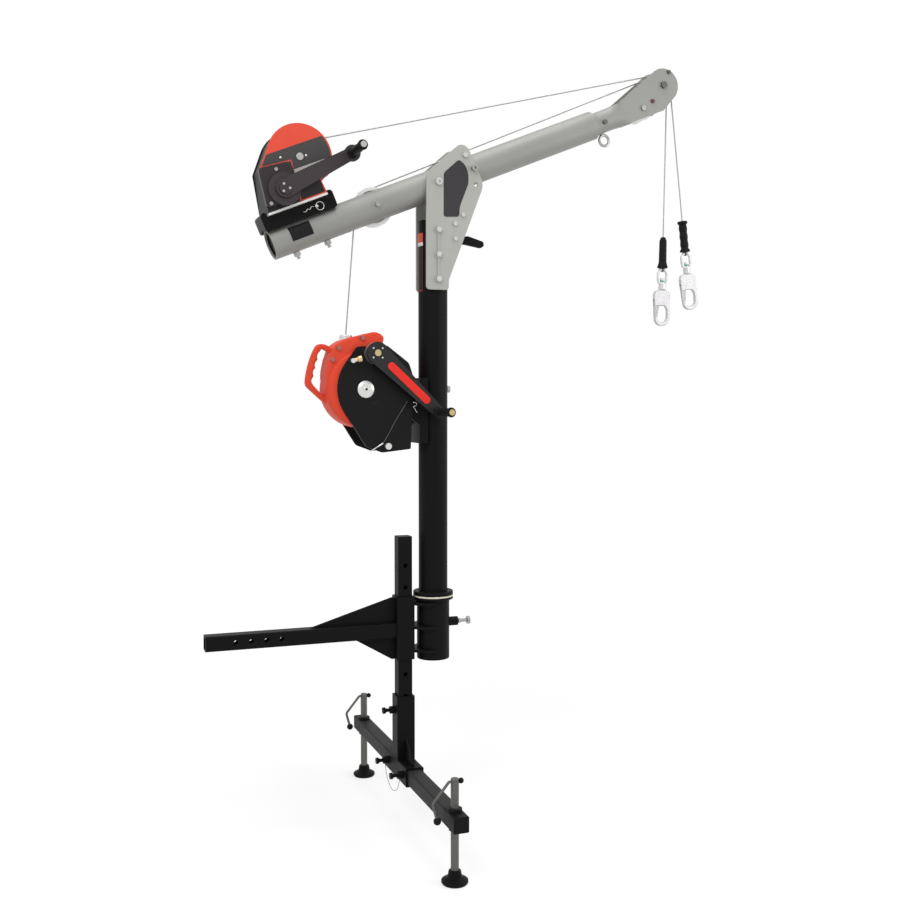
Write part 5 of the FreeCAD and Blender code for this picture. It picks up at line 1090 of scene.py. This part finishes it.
class DAVIT_OT_paints(bpy.types.Operator):
    """Red-orange paint of the lifeline block and the winch disc, and their fittings"""
    bl_idname = "davit.paints"
    bl_label = "Paints"

    def disc_lines(self, s, n):
        """Mask of the thin red edges of the near disc, each between two distances from its edge."""
        lean = over_angle(DISC_BROW, 0.0, DRUM, DISC_R)
        crown = rim(DRUM, DISC_R, lean)[0]
        brow = (s - DISC_BROW[0]) * math.cos(lean) + (n - DISC_BROW[1]) * math.sin(lean)
        far = away(s - DRUM[0], n - DRUM[1])
        cover = s - COVER_EDGE[0] - (n - COVER_EDGE[1]) * COVER_SLOPE
        drop = n - BROW_EDGE[0] - (s - BROW_EDGE[1]) * BROW_SLOPE
        lines = brow.between(-0.0042, 0.001) & (s < crown)
        lines |= far.between(DISC_R - 0.0048, DISC_R) & (n > DISC_NECK) & (s > crown)
        lines |= (n < DISC_FOOT) & (s > FOOT_BACK)
        lines |= (n < DISC_NECK) & (s > NECK_FRONT)
        lines |= cover.between(0.003, 0.0062) & (n < COVER_TOP)
        lines |= drop.between(0.002, 0.0055) & (s < BROW_FRONT)
        return lines

    def disc(self):
        """Winch sides: red cap over a dark band on the near disc, a pale stripe below it, thin red edges,
        black elsewhere."""
        finish = Finish("winch_disc_paint", clouds=8.0, grain=600.0, depth=0.2, specular=0.3)
        s, y, n = finish.axes((MAST_X, 0.0, PIVOT_Z), LUFF)
        stripe = n.between(DISC_STRIPE, DISC_BAND) & s.between(*STRIPE_ENDS)
        finish.colour((0.014, 0.012, 0.012),
                      (n.between(DISC_BAND, DISC_CAP), (0.055, 0.050, 0.050)),
                      (stripe, (0.50, 0.48, 0.47)),
                      ((n > DISC_CAP) | self.disc_lines(s, n), colours().red),
                      (y > SLACK - WINCH_FACE, (0.012, 0.010, 0.010)))
        dress(finish.rough(0.34, 0.46).bump(0.0001, 0.2), "winch_sides")

    def crank(self):
        """Lifeline crank: black with a red strip, brass cap, bright rivets and bright hub behind."""
        finish = Finish("lifeline_crank_paint", clouds=8.0, grain=700.0, depth=0.25, specular=0.35)
        x, y, z = finish.axes(mast_point(*LIFE_CRANK))
        far = away(x, z)
        raised = y < -LIFE_RAISED_FACE
        strip = raised & (far > LIFE_HUB_R) & (y > -LIFE_STRIP_FACE)
        brass = raised & (far < LIFE_CAP_R) | (y < -LIFE_PIN_FACE)
        rivets = raised & far.between(LIFE_CAP_R, LIFE_HUB_R)
        steel = rivets | (far < LIFE_HUB_R) & (y > -LIFE_BACK_FACE)
        finish.colour((0.009, 0.009, 0.0095), (strip, (0.80, 0.022, 0.012)),
                      (steel, (0.62, 0.62, 0.60)), (brass, (0.52, 0.44, 0.22)))
        finish.metal_where(steel | brass).rough(0.28, 0.42).bump(0.0001, 0.2)
        dress(finish, "lifeline_crank")

    def fittings(self):
        """Block fittings: plated, with a brass pull knob, reddish bolts and a dark eye in the hub."""
        finish = Finish("block_fittings", clouds=40.0, grain=900.0, depth=0.2, metallic=0.9)
        knob = finish.zone(mast_point(*PULL_KNOB, -KNOB_FACE), KNOB_R)
        bolts = [finish.zone(mast_point(*spot, -BOLT_FACE), BOLT_R) for spot in BLOCK_BOLTS]
        x, _, z = finish.axes(mast_point(*BLOCK_HUB))
        eye = away(x, z) < HUB_EYE_R
        # The bolts' reddish brown is painted reflection: it stands in for the red casting mirrored in these
        # chrome bolts.
        finish.colour((0.66, 0.66, 0.64), (knob, (0.66, 0.50, 0.27)),
                      *[(bolt, (0.34, 0.15, 0.12)) for bolt in bolts], (eye, solid((0.03, 0.03, 0.03))))
        dress(finish.rough(0.25, 0.4).bump(0.00006, 0.2), "lifeline_fittings")

    def execute(self, context):
        red = Finish("red_block_paint", clouds=7.0, grain=450.0, depth=0.2, specular=0.05)
        red.colour(colours().red).rough(0.38, 0.5).bump(0.00018, 0.3)
        dress(red, "block_drum", "block_crown", "block_handle")
        self.disc()
        self.crank()
        self.fittings()
        return {"FINISHED"}


class DAVIT_OT_stage(bpy.types.Operator):
    """Pale floor, soft studio lamps and the camera"""
    bl_idname = "davit.stage"
    bl_label = "Stage"

    def seen(self, tree):
        """One for rays from the camera, a mirror or a clear piece, nought for others."""
        path = tree.add("ShaderNodeLightPath").outputs
        mirror = tree.math("MAXIMUM", path["Is Glossy Ray"], path["Is Transmission Ray"])
        return tree.math("MAXIMUM", path["Is Camera Ray"], mirror)

    def pale(self):
        """Near white with a shadow for the camera and reflections, plain pale for other rays."""
        material = bpy.data.materials.new("pale_floor")
        material.use_nodes = True
        tree = Tree(material.node_tree)
        plain = tree.add("ShaderNodeBsdfDiffuse", {"Color": (0.90, 0.90, 0.90, 1.0)})
        catch = tree.add("ShaderNodeBsdfDiffuse", {"Color": (0.40, 0.40, 0.40, 1.0)})
        place = tree.add("ShaderNodeTexCoord").outputs["Object"]
        away = tree.add("ShaderNodeVectorMath", {0: place, 1: (MAST_X, 0.0, FLOOR_Z)}, operation="DISTANCE")
        lift = tree.add("ShaderNodeMapRange", {"Value": away.outputs["Value"], "From Min": 1.5,
                                               "From Max": 6.0, "To Min": 0.66, "To Max": 0.86})
        glow = tree.add("ShaderNodeEmission", {"Strength": lift.outputs["Result"]})
        both = tree.add("ShaderNodeAddShader", {0: catch.outputs[0], 1: glow.outputs[0]})
        pick = tree.add("ShaderNodeMixShader", {0: self.seen(tree), 1: plain.outputs[0], 2: both.outputs[0]})
        tree.add("ShaderNodeOutputMaterial", {"Surface": pick.outputs[0]})
        return material

    def floor(self):
        """One wide flat face."""
        far = 60.0
        corners = [(-far, -far, FLOOR_Z), (far, -far, FLOOR_Z), (far, far, FLOOR_Z), (-far, far, FLOOR_Z)]
        made = lay_mesh("stage_floor", corners, [(0, 1, 2, 3)], False)
        made.data.materials.append(self.pale())

    def world(self):
        """White for the camera and reflections, dimmer as a light."""
        world = bpy.data.worlds.new("studio")
        world.use_nodes = True
        tree = Tree(world.node_tree)
        white = (1.0, 1.0, 1.0, 1.0)
        dim = tree.add("ShaderNodeBackground", {"Color": white, "Strength": 0.55})
        full = tree.add("ShaderNodeBackground", {"Color": white, "Strength": 1.0})
        pick = tree.add("ShaderNodeMixShader", {0: self.seen(tree), 1: dim.outputs[0], 2: full.outputs[0]})
        tree.add("ShaderNodeOutputWorld", {"Surface": pick.outputs[0]})
        bpy.context.scene.world = world

    def aim(self, name, data, place, look):
        """An object at a place that looks along a direction."""
        made = put_in_scene(name, data)
        made.location = place
        made.rotation_euler = look.to_track_quat("-Z", "Y").to_euler()
        return made

    def lamp(self, name, place, size, power):
        """Soft rectangular lamp that looks at the middle of the crane."""
        data = bpy.data.lights.new(name, "AREA")
        data.shape = "RECTANGLE"
        data.size = size
        data.size_y = size * 0.8
        data.energy = power
        target = Vector((0.7, 0.0, 1.0))
        self.aim(name, data, place, target - Vector(place))

    def camera(self):
        """The photo's view."""
        data = bpy.data.cameras.new("camera")
        data.lens = 44.0
        data.sensor_width = 36.0
        data.clip_end = 200.0
        pan, tilt = math.radians(20.0), math.radians(2.6)
        look = Vector((math.sin(pan) * math.cos(tilt), math.cos(pan) * math.cos(tilt), -math.sin(tilt)))
        place = (-0.567, -3.642, 0.799)
        bpy.context.scene.camera = self.aim("camera", data, place, look)

    def execute(self, context):
        self.floor()
        self.world()
        self.lamp("key_lamp", (-1.6, -2.6, 3.6), size=2.2, power=70.0)
        self.lamp("top_lamp", (0.9, -0.3, 4.2), size=2.0, power=45.0)
        self.lamp("side_lamp", (3.2, -1.6, 1.6), size=1.8, power=25.0)
        self.camera()
        bpy.context.scene.view_settings.view_transform = "Standard"
        return {"FINISHED"}


class DAVIT_PT_panel(bpy.types.Panel):
    """Lists the steps that dress the davit crane"""
    bl_label = "Davit crane"
    bl_idname = "DAVIT_PT_panel"
    bl_space_type = "VIEW_3D"
    bl_region_type = "UI"
    bl_category = "Davit"

    def draw(self, context):
        for step in STEPS:
            self.layout.operator(step.bl_idname)
        for group, values in ((DavitSizes, sizes()), (DavitColours, colours())):
            for name in group.__annotations__:
                self.layout.prop(values, name)


STEPS = (DAVIT_OT_ropes, DAVIT_OT_panels, DAVIT_OT_block, DAVIT_OT_head, DAVIT_OT_fittings, DAVIT_OT_coats,
         DAVIT_OT_metals, DAVIT_OT_plastics, DAVIT_OT_paints, DAVIT_OT_stage)
CLASSES = (DavitSizes, DavitColours) + STEPS + (DAVIT_PT_panel,)


def register():
    for made in CLASSES:
        bpy.utils.register_class(made)
    bpy.types.Scene.davit_sizes = bpy.props.PointerProperty(type=DavitSizes)
    bpy.types.Scene.davit_colours = bpy.props.PointerProperty(type=DavitColours)


def unregister():
    del bpy.types.Scene.davit_colours
    del bpy.types.Scene.davit_sizes
    for made in reversed(CLASSES):
        bpy.utils.unregister_class(made)


def main():
    register()
    for step in STEPS:
        group, name = step.bl_idname.split(".")
        getattr(getattr(bpy.ops, group), name)()


if __name__ == "__main__":
    main()
